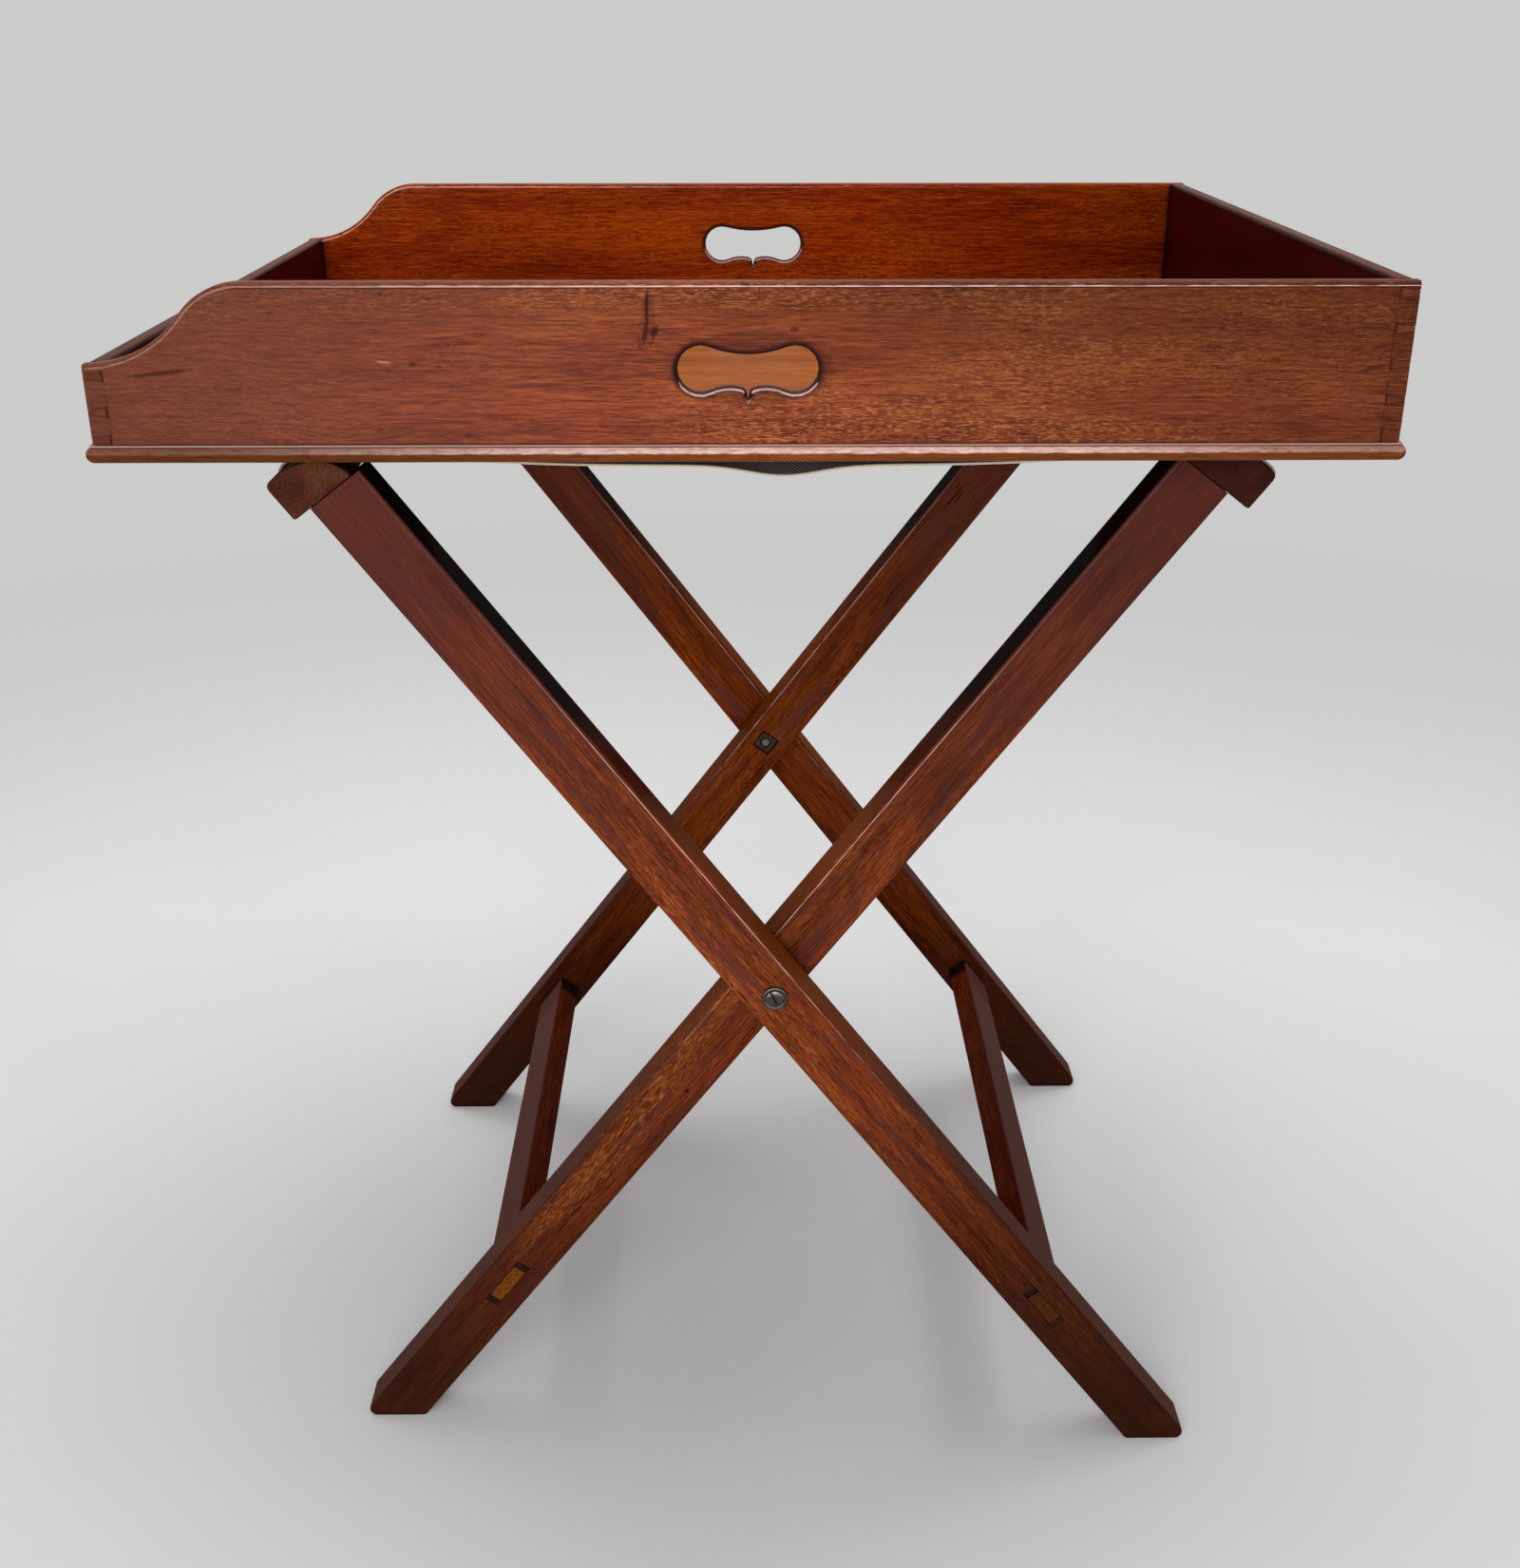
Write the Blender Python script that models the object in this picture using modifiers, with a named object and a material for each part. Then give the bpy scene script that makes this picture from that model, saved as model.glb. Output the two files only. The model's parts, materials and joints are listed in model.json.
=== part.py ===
"""Butler's tray on a folding X stand, modelled in metres with +Z up.

The tray is a dovetailed box with one low end, swept down to it by an ogee on each long side, and
a hand hole through each long side. It stands loose on two crossed frames, which turn on two bolts
and are kept from spreading by webbing straps between their top rails.
The origin is on the floor under the middle of the tray. Long sides run along X, ends along Y.
"""
import math

import bmesh
import bpy
from mathutils import Matrix, Vector

# Clearances
SEAT_GAP = 0.0003
LEG_GAP = 0.0012
OVERRUN = 0.002

# Tray
TRAY_LENGTH = 0.740
TRAY_DEPTH = 0.584
WALL_HEIGHT = 0.0893
LOW_HEIGHT = 0.045
OGEE_RUN = 0.092
HOLLOW_SHARE = 0.614
SIDE_THICK = 0.011
END_THICK = 0.0110
TOP_ROUND = 0.0028
BOTTOM_THICK = 0.010
BOTTOM_LIP = 0.0045
BOTTOM_LEDGE = 0.0018
BOTTOM_QUIRK = 0.0007
BOTTOM_CORNER = 0.0045
FIELD_RISE = 0.0010
FIELD_CORNER = 0.0010

# Dovetails
HIGH_PIN_SHARES = (0.25, 0.5, 0.75, 1.0)
LOW_PIN_SHARES = (0.44, 1.0)
PIN_WIDTH = 0.0059
PIN_FLARE = 0.0017
HIGH_HALF_PIN = 0.0078
LOW_HALF_PIN = 0.0060
TOP_TAIL = 0.0065

# Hand holes
HOLE_LOBE_REACH = 0.0265
HOLE_CREST_REACH = 0.0101
HOLE_NOTCH_DEPTH = 0.0042
HOLE_NOTCH_HALF = 0.0006
HOLE_SHOULDER = 0.0042
HOLE_ROUND = 0.0038
FRONT_HOLE_HEIGHT = 0.0413
FRONT_HOLE_RADIUS = 0.0131
FRONT_HOLE_DIP = 0.0050
FRONT_HOLE_RISE = 0.0036
BACK_HOLE_SHIFT = 0.0070
BACK_HOLE_HEIGHT = 0.0405
BACK_HOLE_RADIUS = 0.0140
BACK_HOLE_DIP = 0.0034
BACK_HOLE_RISE = 0.0033

# Stand
HALF_ANGLE = math.radians(37.0)
PIVOT_HEIGHT = 0.3778
STAND_DEPTH = 0.4983
STAND_SHIFT_X = 0.0165
STAND_SHIFT_Y = -0.0304
LEG_WIDTH = 0.0385
LEG_THICK = 0.0286
LEG_ARRIS = 0.0022
FOOT_CLIP = 0.006
RAIL_REACH = 0.4254
RAIL_THICK = 0.026
OUTER_RAIL_OUTSIDE = 0.031
INNER_RAIL_OUTSIDE = 0.0355
RAIL_INSIDE = 0.013
RAIL_CROWN = 0.020
RAIL_CORNER = 0.004
RAIL_END_ROUND = 0.0012
RAIL_TENON_WIDTH = 0.020
RAIL_TENON_THICK = 0.010
RAIL_TENON_LENGTH = 0.011
RAIL_TENON_SHIFT = -0.007
STRETCHER_DROP = 0.3205
STRETCHER_WIDTH = 0.036
STRETCHER_THICK = 0.019
STRETCHER_ARRIS = 0.0015
OUTER_TENON_WIDTH = 0.0275
INNER_TENON_WIDTH = 0.0308
TENON_THICK = 0.0100
WEDGE_THICK = 0.0052
WEDGE_SINK = 0.0012
WEDGE_LENGTH_SHARE = 0.78

# Pivot hardware
BOLT_RADIUS = 0.004
BOLT_HEAD_RADIUS = 0.0059
BOLT_HEAD_RIM = 0.0007
BOLT_HEAD_DOME = 0.0013
BOLT_POINT = 0.0008
BOLT_SLOT_WIDTH = 0.0014
BOLT_SLOT_DEPTH = 0.0013
BOLT_SLOT_TURN = math.radians(26.0)
WASHER_RADIUS = 0.0083
WASHER_EDGE = 0.0007
WASHER_RIM = 0.0020
WASHER_SEAT = 0.0012
WASHER_LIP = 0.0007
NUT_SIZE = 0.0145
NUT_THICK = 0.0060
NUT_CHAMFER = 0.0008
NUT_ROOM = 0.0012
NUT_SINK = 0.0006

# Webbing
STRAP_WIDTH = 0.050
STRAP_THICK = 0.0016
STRAP_COUNT = 3
STRAP_INSET = 0.006
STRAP_TAIL = 0.017
STRAP_SLOPE_SHARE = 0.110
STRAP_SAG_SHARE = 1.5

# Colours and surfaces
MAHOGANY = ((0.150, 0.040, 0.020), 0.34, 0.0)
MAHOGANY_LIGHT = ((0.210, 0.062, 0.026), 0.36, 0.0)
MAHOGANY_DARK = ((0.085, 0.026, 0.018), 0.42, 0.0)
WEDGE_WOOD = ((0.070, 0.030, 0.020), 0.50, 0.0)
STEEL = ((0.060, 0.055, 0.052), 0.45, 0.9)
WEBBING = ((0.020, 0.019, 0.018), 0.90, 0.0)

CRISP_ANGLE = math.radians(28.0)
RAIL_ROUND_X = RAIL_INSIDE + RAIL_CROWN
LEAN = Vector((math.sin(HALF_ANGLE), math.cos(HALF_ANGLE)))


# Scene and materials

def clear_scene():
    for old in list(bpy.data.objects):
        bpy.data.objects.remove(old, do_unlink=True)


def new_collection(name):
    group = bpy.data.collections.new(name)
    bpy.context.scene.collection.children.link(group)
    return group


def make_material(name, look):
    colour, roughness, metallic = look
    made = bpy.data.materials.new(name)
    made.use_nodes = True
    shader = made.node_tree.nodes["Principled BSDF"]
    shader.inputs["Base Color"].default_value = (*colour, 1.0)
    shader.inputs["Roughness"].default_value = roughness
    shader.inputs["Metallic"].default_value = metallic
    return made


def add_empty(name, place, turn=0.0):
    empty = bpy.data.objects.new(name, None)
    empty.location = place
    empty.rotation_euler = (0.0, turn, 0.0)
    PARTS.objects.link(empty)
    return empty


def add_object(name, mesh, carrier, look=None):
    made = bpy.data.objects.new(name, mesh)
    made.parent = carrier
    shade(mesh)
    if look is None:
        CUTTERS.objects.link(made)
        made.hide_render = True
        made.display_type = "WIRE"
    else:
        PARTS.objects.link(made)
        mesh.materials.append(make_material(name, look))
    return made


def combine(target, tool, operation="DIFFERENCE"):
    step = target.modifiers.new(operation.title() + " " + tool.name, "BOOLEAN")
    step.operation = operation
    step.object = tool
    step.solver = "EXACT"


# Shapes

def shade(mesh):
    """Round faces are shaded smooth, and edges sharper than a small angle stay crisp."""
    mesh.shade_smooth()
    mesh.set_sharp_from_angle(angle=CRISP_ANGLE)


def arc(centre, radius, start, end, steps):
    """Points on a circle in a plane, from one angle to another in degrees."""
    points = []
    for i in range(steps + 1):
        angle = math.radians(start + (end - start) * i / steps)
        points.append((centre[0] + radius * math.cos(angle), centre[1] + radius * math.sin(angle)))
    return points


def outline_mesh(name, outline, thickness):
    """A flat outline in X and Z, filled and given its thickness along Y."""
    curve = bpy.data.curves.new(name, "CURVE")
    curve.dimensions = "2D"
    curve.fill_mode = "BOTH"
    curve.extrude = thickness / 2
    spline = curve.splines.new("POLY")
    spline.points.add(len(outline) - 1)
    for point, (across, up) in zip(spline.points, outline):
        point.co = (across, up, 0.0, 1.0)
    spline.use_cyclic_u = True
    flat = bpy.data.objects.new(name, curve)
    bpy.context.scene.collection.objects.link(flat)
    bpy.context.view_layer.update()
    seen = flat.evaluated_get(bpy.context.evaluated_depsgraph_get())
    mesh = bpy.data.meshes.new_from_object(seen)
    bpy.data.objects.remove(flat, do_unlink=True)
    bpy.data.curves.remove(curve)
    mesh.transform(Matrix.Rotation(math.pi / 2, 4, "X"))
    shape = bmesh.new()
    shape.from_mesh(mesh)
    bmesh.ops.remove_doubles(shape, verts=shape.verts, dist=SEAT_GAP / 30)
    flatness = math.radians(0.05)
    bmesh.ops.dissolve_limit(shape, angle_limit=flatness, verts=shape.verts, edges=shape.edges)
    bmesh.ops.recalc_face_normals(shape, faces=shape.faces)
    shape.to_mesh(mesh)
    shape.free()
    mesh.name = name
    return mesh


def box_mesh(name, low, high):
    """A box between two corners."""
    low, high = Vector(low), Vector(high)
    size = high - low
    shape = bmesh.new()
    place = Matrix.Translation((low + high) / 2) @ Matrix.Diagonal((*size, 1.0))
    bmesh.ops.create_cube(shape, size=1.0, matrix=place)
    mesh = bpy.data.meshes.new(name)
    shape.to_mesh(mesh)
    shape.free()
    return mesh


def loft_mesh(name, rings):
    """A closed solid through rings of points that all have the same count."""
    shape = bmesh.new()
    rows = [[shape.verts.new(point) for point in ring] for ring in rings]
    count = len(rings[0])
    for below, above in zip(rows, rows[1:]):
        for i in range(count):
            j = (i + 1) % count
            shape.faces.new((below[i], below[j], above[j], above[i]))
    shape.faces.new(rows[0])
    shape.faces.new(rows[-1])
    bmesh.ops.recalc_face_normals(shape, faces=shape.faces)
    mesh = bpy.data.meshes.new(name)
    shape.to_mesh(mesh)
    shape.free()
    return mesh


def turned_object(name, profile, carrier, look, ring=False, steps=32):
    """A profile at +X, from top to bottom, turned about Z. A ring's profile closes on itself."""
    mesh = bpy.data.meshes.new(name)
    edges = [(i, i + 1) for i in range(len(profile) - 1)]
    if ring:
        edges.append((len(profile) - 1, 0))
    mesh.from_pydata([(radius, 0.0, height) for radius, height in profile], edges, [])
    made = add_object(name, mesh, carrier, look)
    screw = made.modifiers.new("Turn", "SCREW")
    screw.steps = steps
    screw.render_steps = steps
    screw.use_merge_vertices = True
    screw.merge_threshold = SEAT_GAP / 30
    return made


def soften(mesh, radius, segments, chosen):
    """Rounds the edges for which chosen(edge) holds."""
    shape = bmesh.new()
    shape.from_mesh(mesh)
    edges = [edge for edge in shape.edges if chosen(edge)]
    bmesh.ops.bevel(
        shape, geom=edges, offset=radius, offset_type="OFFSET", segments=segments,
        profile=0.5, affect="EDGES", clamp_overlap=True)
    shape.to_mesh(mesh)
    shape.free()


def join_meshes(name, meshes):
    """One mesh that holds several solids which stay clear of each other, for a cutter."""
    shape = bmesh.new()
    for mesh in meshes:
        shape.from_mesh(mesh)
        bpy.data.meshes.remove(mesh)
    joined = bpy.data.meshes.new(name)
    shape.to_mesh(joined)
    shape.free()
    return joined


def same_face(edge, axis):
    """Whether an edge lies square to an axis, so both of its ends have one value there."""
    first, second = edge.verts
    return abs(first.co[axis] - second.co[axis]) < SEAT_GAP / 30


# Tray

def ogee_points():
    """The sweep from full height down to the low end: a round, then a hollow, tangent to each other."""
    rise = WALL_HEIGHT - LOW_HEIGHT
    sweep = 2 * math.atan2(rise, OGEE_RUN)
    radii = OGEE_RUN / math.sin(sweep)
    hollow = radii * HOLLOW_SHARE
    crown = radii - hollow
    turn = math.degrees(sweep)
    left = -TRAY_LENGTH / 2
    over = arc((left + OGEE_RUN, WALL_HEIGHT - crown), crown, 90, 90 + turn, 10)
    under = arc((left, LOW_HEIGHT + hollow), hollow, turn - 90, -90, 12)
    return over + under[1:]


def pin_rows(height, half_pin, shares):
    """Heights of the pins of one end: low and high edge at the baseline, then at the corner."""
    first = half_pin - PIN_WIDTH / 2
    last = height - TOP_TAIL
    rows = [(0.0, half_pin, 0.0, half_pin - PIN_FLARE)]
    for share in shares:
        middle = first + (last - first) * share
        wide = PIN_WIDTH / 2
        narrow = wide - PIN_FLARE
        rows.append((middle - wide, middle + wide, middle - narrow, middle + narrow))
    return rows


def on_slope(base, corner, inward):
    """An edge's height at a distance inward from the corner, given its baseline and corner heights."""
    return corner + (base - corner) * inward / END_THICK


def socket_mesh(side, rows):
    """The pins of one end, grown by half the gap, as a cutter for a long side."""
    outer = side * TRAY_LENGTH / 2
    blocks = []
    for low_base, high_base, low_corner, high_corner in rows:
        outline = []
        for inward in (-OVERRUN, END_THICK + SEAT_GAP):
            low = on_slope(low_base, low_corner, inward) - SEAT_GAP / 2
            high = on_slope(high_base, high_corner, inward) + SEAT_GAP / 2
            if low_base == 0.0:
                low = -OVERRUN
            outline.append((outer - side * inward, low, high))
        (x0, low0, high0), (x1, low1, high1) = outline
        shape = [(x0, low0), (x1, low1), (x1, high1), (x0, high0)]
        blocks.append(outline_mesh("socket", shape, SIDE_THICK + 2 * OVERRUN))
    return join_meshes("socket", blocks)


def tail_mesh(side, height, rows):
    """The tails of the long sides, grown by half the gap, as a cutter for an end."""
    outer = side * TRAY_LENGTH / 2
    blocks = []
    for i in range(len(rows)):
        outline = []
        for inward in (-OVERRUN, END_THICK + OVERRUN):
            low = on_slope(rows[i][1], rows[i][3], inward) - SEAT_GAP / 2
            high = height + OVERRUN
            if i + 1 < len(rows):
                high = on_slope(rows[i + 1][0], rows[i + 1][2], inward) + SEAT_GAP / 2
            outline.append((outer - side * inward, low, high))
        (x0, low0, high0), (x1, low1, high1) = outline
        shape = [(x0, low0), (x1, low1), (x1, high1), (x0, high0)]
        blocks.append(shape)
    solids = []
    for end in (-1, 1):
        middle = end * (TRAY_DEPTH / 2 - (SIDE_THICK + SEAT_GAP) / 2 + OVERRUN / 2)
        for shape in blocks:
            solid = outline_mesh("tail", shape, SIDE_THICK + SEAT_GAP + OVERRUN)
            solid.transform(Matrix.Translation((0.0, middle, 0.0)))
            solids.append(solid)
    return join_meshes("tails", solids)


def hole_outline(radius, dip, rise, grow):
    """A hand hole's outline round its own middle, grown into the wood by a distance.

    Each end is a round lobe. The top dips between them in one arc, and the bottom rises in two
    crests that meet in a pointed notch. All the arcs are tangent to their neighbours.
    """
    lobe = Vector((HOLE_LOBE_REACH, 0.0))
    waist = radius - dip
    bend = (HOLE_LOBE_REACH ** 2 + waist ** 2 - radius ** 2) / (2 * dip)
    top = Vector((0.0, waist + bend))
    crest = radius - rise
    reach = HOLE_LOBE_REACH - HOLE_CREST_REACH
    swell = (reach ** 2 + crest ** 2 - radius ** 2) / (2 * rise)
    below = Vector((HOLE_CREST_REACH, -crest - swell))
    corner_x = HOLE_NOTCH_HALF + HOLE_SHOULDER
    rise = math.sqrt((swell - HOLE_SHOULDER) ** 2 - (HOLE_CREST_REACH - corner_x) ** 2)
    corner = Vector((corner_x, below.y + rise))
    tip = Vector((0.0, -radius - HOLE_NOTCH_DEPTH - grow))

    def heading(start, end):
        return math.degrees(math.atan2(end.y - start.y, end.x - start.x))

    up = heading(lobe, top)
    down = heading(lobe, below)
    right = arc(top, bend - grow, -90, up - 180, 4)
    right += arc(lobe, radius + grow, up, down, 12)[1:]
    right += arc(below, swell - grow, down + 180, heading(below, corner), 5)[1:]
    right += arc(corner, HOLE_SHOULDER - grow, heading(below, corner), 180, 4)[1:]
    left = [(-x, z) for x, z in reversed(right[1:])]
    return right + [tuple(tip)] + left


def hole_mesh(shift, height, radius, dip, rise):
    """A hand hole as a cutter: it flares at both faces of the board, which rounds its edge."""
    half = SIDE_THICK / 2
    levels = [(-half - OVERRUN, HOLE_ROUND)]
    steps = 4
    for i in range(steps + 1):
        angle = math.pi / 2 * i / steps
        levels.append((-half + HOLE_ROUND * (1 - math.cos(angle)), HOLE_ROUND * (1 - math.sin(angle))))
    levels += [(-y, grow) for y, grow in reversed(levels)]
    rings = []
    for y, grow in levels:
        outline = hole_outline(radius, dip, rise, grow)
        rings.append([(shift + x, y, height + z) for x, z in outline])
    return loft_mesh("hand hole", rings)


def make_side(name, side, hole, high_rows, low_rows, carrier, look):
    """A long side: its ogee, rounded top, hand hole and the sockets between its dovetails."""
    half = TRAY_LENGTH / 2
    outline = [(-half, SEAT_GAP), (half, SEAT_GAP), (half, WALL_HEIGHT)] + ogee_points()
    mesh = outline_mesh(name, outline, SIDE_THICK)

    def is_top_arris(edge):
        first, second = edge.verts
        along = not same_face(edge, 0)
        above = max(first.co.z, second.co.z) > LOW_HEIGHT - SEAT_GAP
        return same_face(edge, 1) and along and above

    soften(mesh, TOP_ROUND, 3, is_top_arris)
    board = add_object(name, mesh, carrier, look)
    place = Vector((0.0, side * (TRAY_DEPTH - SIDE_THICK) / 2, 0.0))
    board.location = place
    tools = [
        ("hand hole " + name, hole_mesh(*hole)),
        ("high sockets " + name, socket_mesh(1, high_rows)),
        ("low sockets " + name, socket_mesh(-1, low_rows)),
    ]
    for tool_name, tool_mesh in tools:
        tool = add_object(tool_name, tool_mesh, carrier)
        tool.location = place
        combine(board, tool)
    return board


def make_end(name, side, height, rows, carrier, look):
    """An end board, cut at both edges to the pins that fill the sockets of the long sides."""
    outer = side * TRAY_LENGTH / 2
    inner = outer - side * END_THICK
    low = (min(outer, inner), -TRAY_DEPTH / 2, SEAT_GAP)
    high = (max(outer, inner), TRAY_DEPTH / 2, height)
    mesh = box_mesh(name, low, high)

    def is_top_arris(edge):
        first, _ = edge.verts
        return same_face(edge, 0) and same_face(edge, 2) and first.co.z > height - SEAT_GAP

    soften(mesh, TOP_ROUND, 3, is_top_arris)
    board = add_object(name, mesh, carrier, look)
    tool = add_object("tails " + name, tail_mesh(side, height, rows), carrier)
    combine(board, tool)
    return board


def rounded_ring(half_x, half_y, radius, height):
    """A rectangle with round corners at one height."""
    ring = []
    corners = ((1, 1, 0), (-1, 1, 90), (-1, -1, 180), (1, -1, 270))
    for across, along, start in corners:
        centre = (across * (half_x - radius), along * (half_y - radius))
        ring += [(x, y, height) for x, y in arc(centre, radius, start, start + 90, 6)]
    return ring


def make_bottom(name, carrier, look):
    """The bottom board.

    Its edge stands out past the walls as a quirked round nose, and a low field inside them fits
    between the walls and keeps them square.
    """
    half_x = TRAY_LENGTH / 2
    half_y = TRAY_DEPTH / 2
    field = (half_x - END_THICK - SEAT_GAP, half_y - SIDE_THICK - SEAT_GAP, FIELD_CORNER)
    rings = [rounded_ring(*field, FIELD_RISE), rounded_ring(*field, 0.0)]
    nose = (BOTTOM_THICK - BOTTOM_QUIRK) / 2
    centre = BOTTOM_LIP - nose
    middle = nose - BOTTOM_THICK
    start = math.degrees(math.acos((BOTTOM_LEDGE - centre) / nose))
    levels = [(BOTTOM_LEDGE, 0.0)]
    levels += arc((centre, middle), nose, start, -75, 9)
    levels.append((centre, -BOTTOM_THICK))
    for grow, height in levels:
        radius = BOTTOM_CORNER + grow - BOTTOM_LIP
        rings.append(rounded_ring(half_x + grow, half_y + grow, radius, height))
    return add_object(name, loft_mesh(name, rings), carrier, look)


# Stand

def rail_height_over_pivot():
    """How far the highest line of a rail lies above the pivot when the stand is open."""
    along = RAIL_ROUND_X * LEAN.x
    up = RAIL_THICK * LEAN.y
    return RAIL_REACH * LEAN.y - RAIL_CROWN * LEAN.x + math.hypot(along, up)


def rail_outline(side, outside):
    """A rail's section, from its flat underside round the outer corner and over its crown."""
    outside = -outside
    corner = (outside + RAIL_CORNER, RAIL_THICK - RAIL_CORNER)
    points = [(outside, 0.0)] + arc(corner, RAIL_CORNER, 180, 90, 3)
    steps = 12
    for i in range(steps + 1):
        angle = math.pi / 2 * (1 - i / steps)
        across = -RAIL_CROWN + RAIL_ROUND_X * math.cos(angle)
        points.append((across, RAIL_THICK * math.sin(angle)))
    return [(side * across, RAIL_REACH + up) for across, up in points]


def leg_outline(side):
    """A leg seen from the front: square at the rail, cut level at the floor, its sharp toe clipped."""
    half = LEG_WIDTH / 2
    top = RAIL_REACH - SEAT_GAP
    heel = (half * LEAN.x - PIVOT_HEIGHT) / LEAN.y
    toe = (-half * LEAN.x - PIVOT_HEIGHT) / LEAN.y
    points = [
        (-half, top),
        (-half, heel),
        (half - FOOT_CLIP * LEAN.y, toe + FOOT_CLIP * LEAN.x),
        (half, toe + FOOT_CLIP),
        (half, top),
    ]
    return [(side * across, along) for across, along in points]


def is_long_arris(edge):
    first, second = edge.verts
    length = (first.co - second.co).length
    return length > 2 * LEG_WIDTH and same_face(edge, 0) and same_face(edge, 1)


def mortise_mesh(outward, tenon_width):
    """The through mortise of one leg, wider at the outer face where the wedges go in."""
    half_x = TENON_THICK / 2 + SEAT_GAP
    slope = WEDGE_THICK / LEG_THICK
    rings = []
    for depth in (-OVERRUN, LEG_THICK + OVERRUN):
        half_z = tenon_width / 2 + 2 * SEAT_GAP + WEDGE_THICK - slope * depth
        y = outward * (LEG_THICK / 2 - depth)
        middle = -STRETCHER_DROP
        rings.append([
            (-half_x, y, middle - half_z), (half_x, y, middle - half_z),
            (half_x, y, middle + half_z), (-half_x, y, middle + half_z)])
    return loft_mesh("mortise", rings)


def cylinder_mesh(name, radius, length, segments=32):
    """A round bar along Y round the pivot."""
    shape = bmesh.new()
    turn = Matrix.Rotation(math.pi / 2, 4, "X")
    bmesh.ops.create_cone(
        shape, cap_ends=True, segments=segments, radius1=radius, radius2=radius, depth=length, matrix=turn)
    mesh = bpy.data.meshes.new(name)
    shape.to_mesh(mesh)
    shape.free()
    return mesh


def make_leg(name, side, outward, middle, tenon_width, carrier, look, has_nut):
    """A leg with its stub tenon, pivot hole, wedged mortise and, on the inner frame, its nut pocket."""
    mesh = outline_mesh(name, leg_outline(side), LEG_THICK)
    soften(mesh, LEG_ARRIS, 3, is_long_arris)
    leg = add_object(name, mesh, carrier, look)
    place = Vector((0.0, middle, 0.0))
    leg.location = place
    half_x = RAIL_TENON_WIDTH / 2
    half_y = RAIL_TENON_THICK / 2
    tenon_x = side * RAIL_TENON_SHIFT
    low = (tenon_x - half_x, -half_y, RAIL_REACH - RAIL_TENON_LENGTH)
    high = (tenon_x + half_x, half_y, RAIL_REACH + RAIL_TENON_LENGTH)
    tools = [
        ("stub tenon " + name, box_mesh("stub tenon", low, high), "UNION"),
        ("pivot hole " + name, cylinder_mesh("hole", BOLT_RADIUS + SEAT_GAP, LEG_THICK + OVERRUN), "DIFFERENCE"),
        ("mortise " + name, mortise_mesh(outward, tenon_width), "DIFFERENCE"),
    ]
    if has_nut:
        half = NUT_SIZE / 2 + NUT_ROOM
        deep = -outward * (LEG_THICK / 2 - NUT_THICK - NUT_SINK)
        mouth = -outward * (LEG_THICK / 2 + OVERRUN)
        pocket = box_mesh("pocket", (-half, min(deep, mouth), -half), (half, max(deep, mouth), half))
        tools.append(("nut pocket " + name, pocket, "DIFFERENCE"))
    for tool_name, tool_mesh, operation in tools:
        tool = add_object(tool_name, tool_mesh, carrier)
        tool.location = place
        combine(leg, tool, operation)
    return leg


def make_rail(name, side, outside, half_depth, carrier, look):
    """A top rail, with a pocket in its underside for the stub tenon of each leg."""
    mesh = outline_mesh(name, rail_outline(side, outside), 2 * half_depth)
    soften(mesh, RAIL_END_ROUND, 2, lambda edge: same_face(edge, 1))
    rail = add_object(name, mesh, carrier, look)
    half_x = RAIL_TENON_WIDTH / 2 + SEAT_GAP
    half_y = RAIL_TENON_THICK / 2 + SEAT_GAP
    tenon_x = side * RAIL_TENON_SHIFT
    pockets = []
    for outward in (-1, 1):
        middle = outward * (half_depth - LEG_THICK / 2)
        low = (tenon_x - half_x, middle - half_y, RAIL_REACH - OVERRUN)
        high = (tenon_x + half_x, middle + half_y, RAIL_REACH + RAIL_TENON_LENGTH + SEAT_GAP)
        pockets.append(box_mesh("pocket", low, high))
    combine(rail, add_object("pockets " + name, join_meshes("pockets", pockets), carrier))
    return rail


def make_stretcher(name, half_depth, tenon_width, carrier, look):
    """A stretcher between the legs, with a tenon that runs through each leg to its outer face."""
    half_y = half_depth - LEG_THICK - SEAT_GAP
    half_x = STRETCHER_THICK / 2
    half_z = STRETCHER_WIDTH / 2
    middle = -STRETCHER_DROP
    mesh = box_mesh(name, (-half_x, -half_y, middle - half_z), (half_x, half_y, middle + half_z))
    soften(mesh, STRETCHER_ARRIS, 2, lambda edge: same_face(edge, 0) and same_face(edge, 2))
    stretcher = add_object(name, mesh, carrier, look)
    half_x = TENON_THICK / 2
    half_z = tenon_width / 2
    low = (-half_x, -half_depth, middle - half_z)
    high = (half_x, half_depth, middle + half_z)
    combine(stretcher, add_object("tenons " + name, box_mesh("tenons", low, high), carrier), "UNION")
    return stretcher


def make_wedge(name, outward, above, half_depth, tenon_width, sink, carrier, look):
    """A wedge between the tenon and the flared end of its mortise, thick end outwards.

    Sunk, its end lies a little below the face of the leg.
    """
    seat = tenon_width / 2 + SEAT_GAP
    half_x = TENON_THICK / 2
    rings = []
    for depth in (sink, LEG_THICK * WEDGE_LENGTH_SHARE):
        thick = WEDGE_THICK * (1 - depth / LEG_THICK)
        y = outward * (half_depth - depth)
        near = -STRETCHER_DROP + above * seat
        far = -STRETCHER_DROP + above * (seat + thick)
        rings.append([(-half_x, y, near), (half_x, y, near), (half_x, y, far), (-half_x, y, far)])
    return add_object(name, loft_mesh(name, rings), carrier, look)


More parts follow.
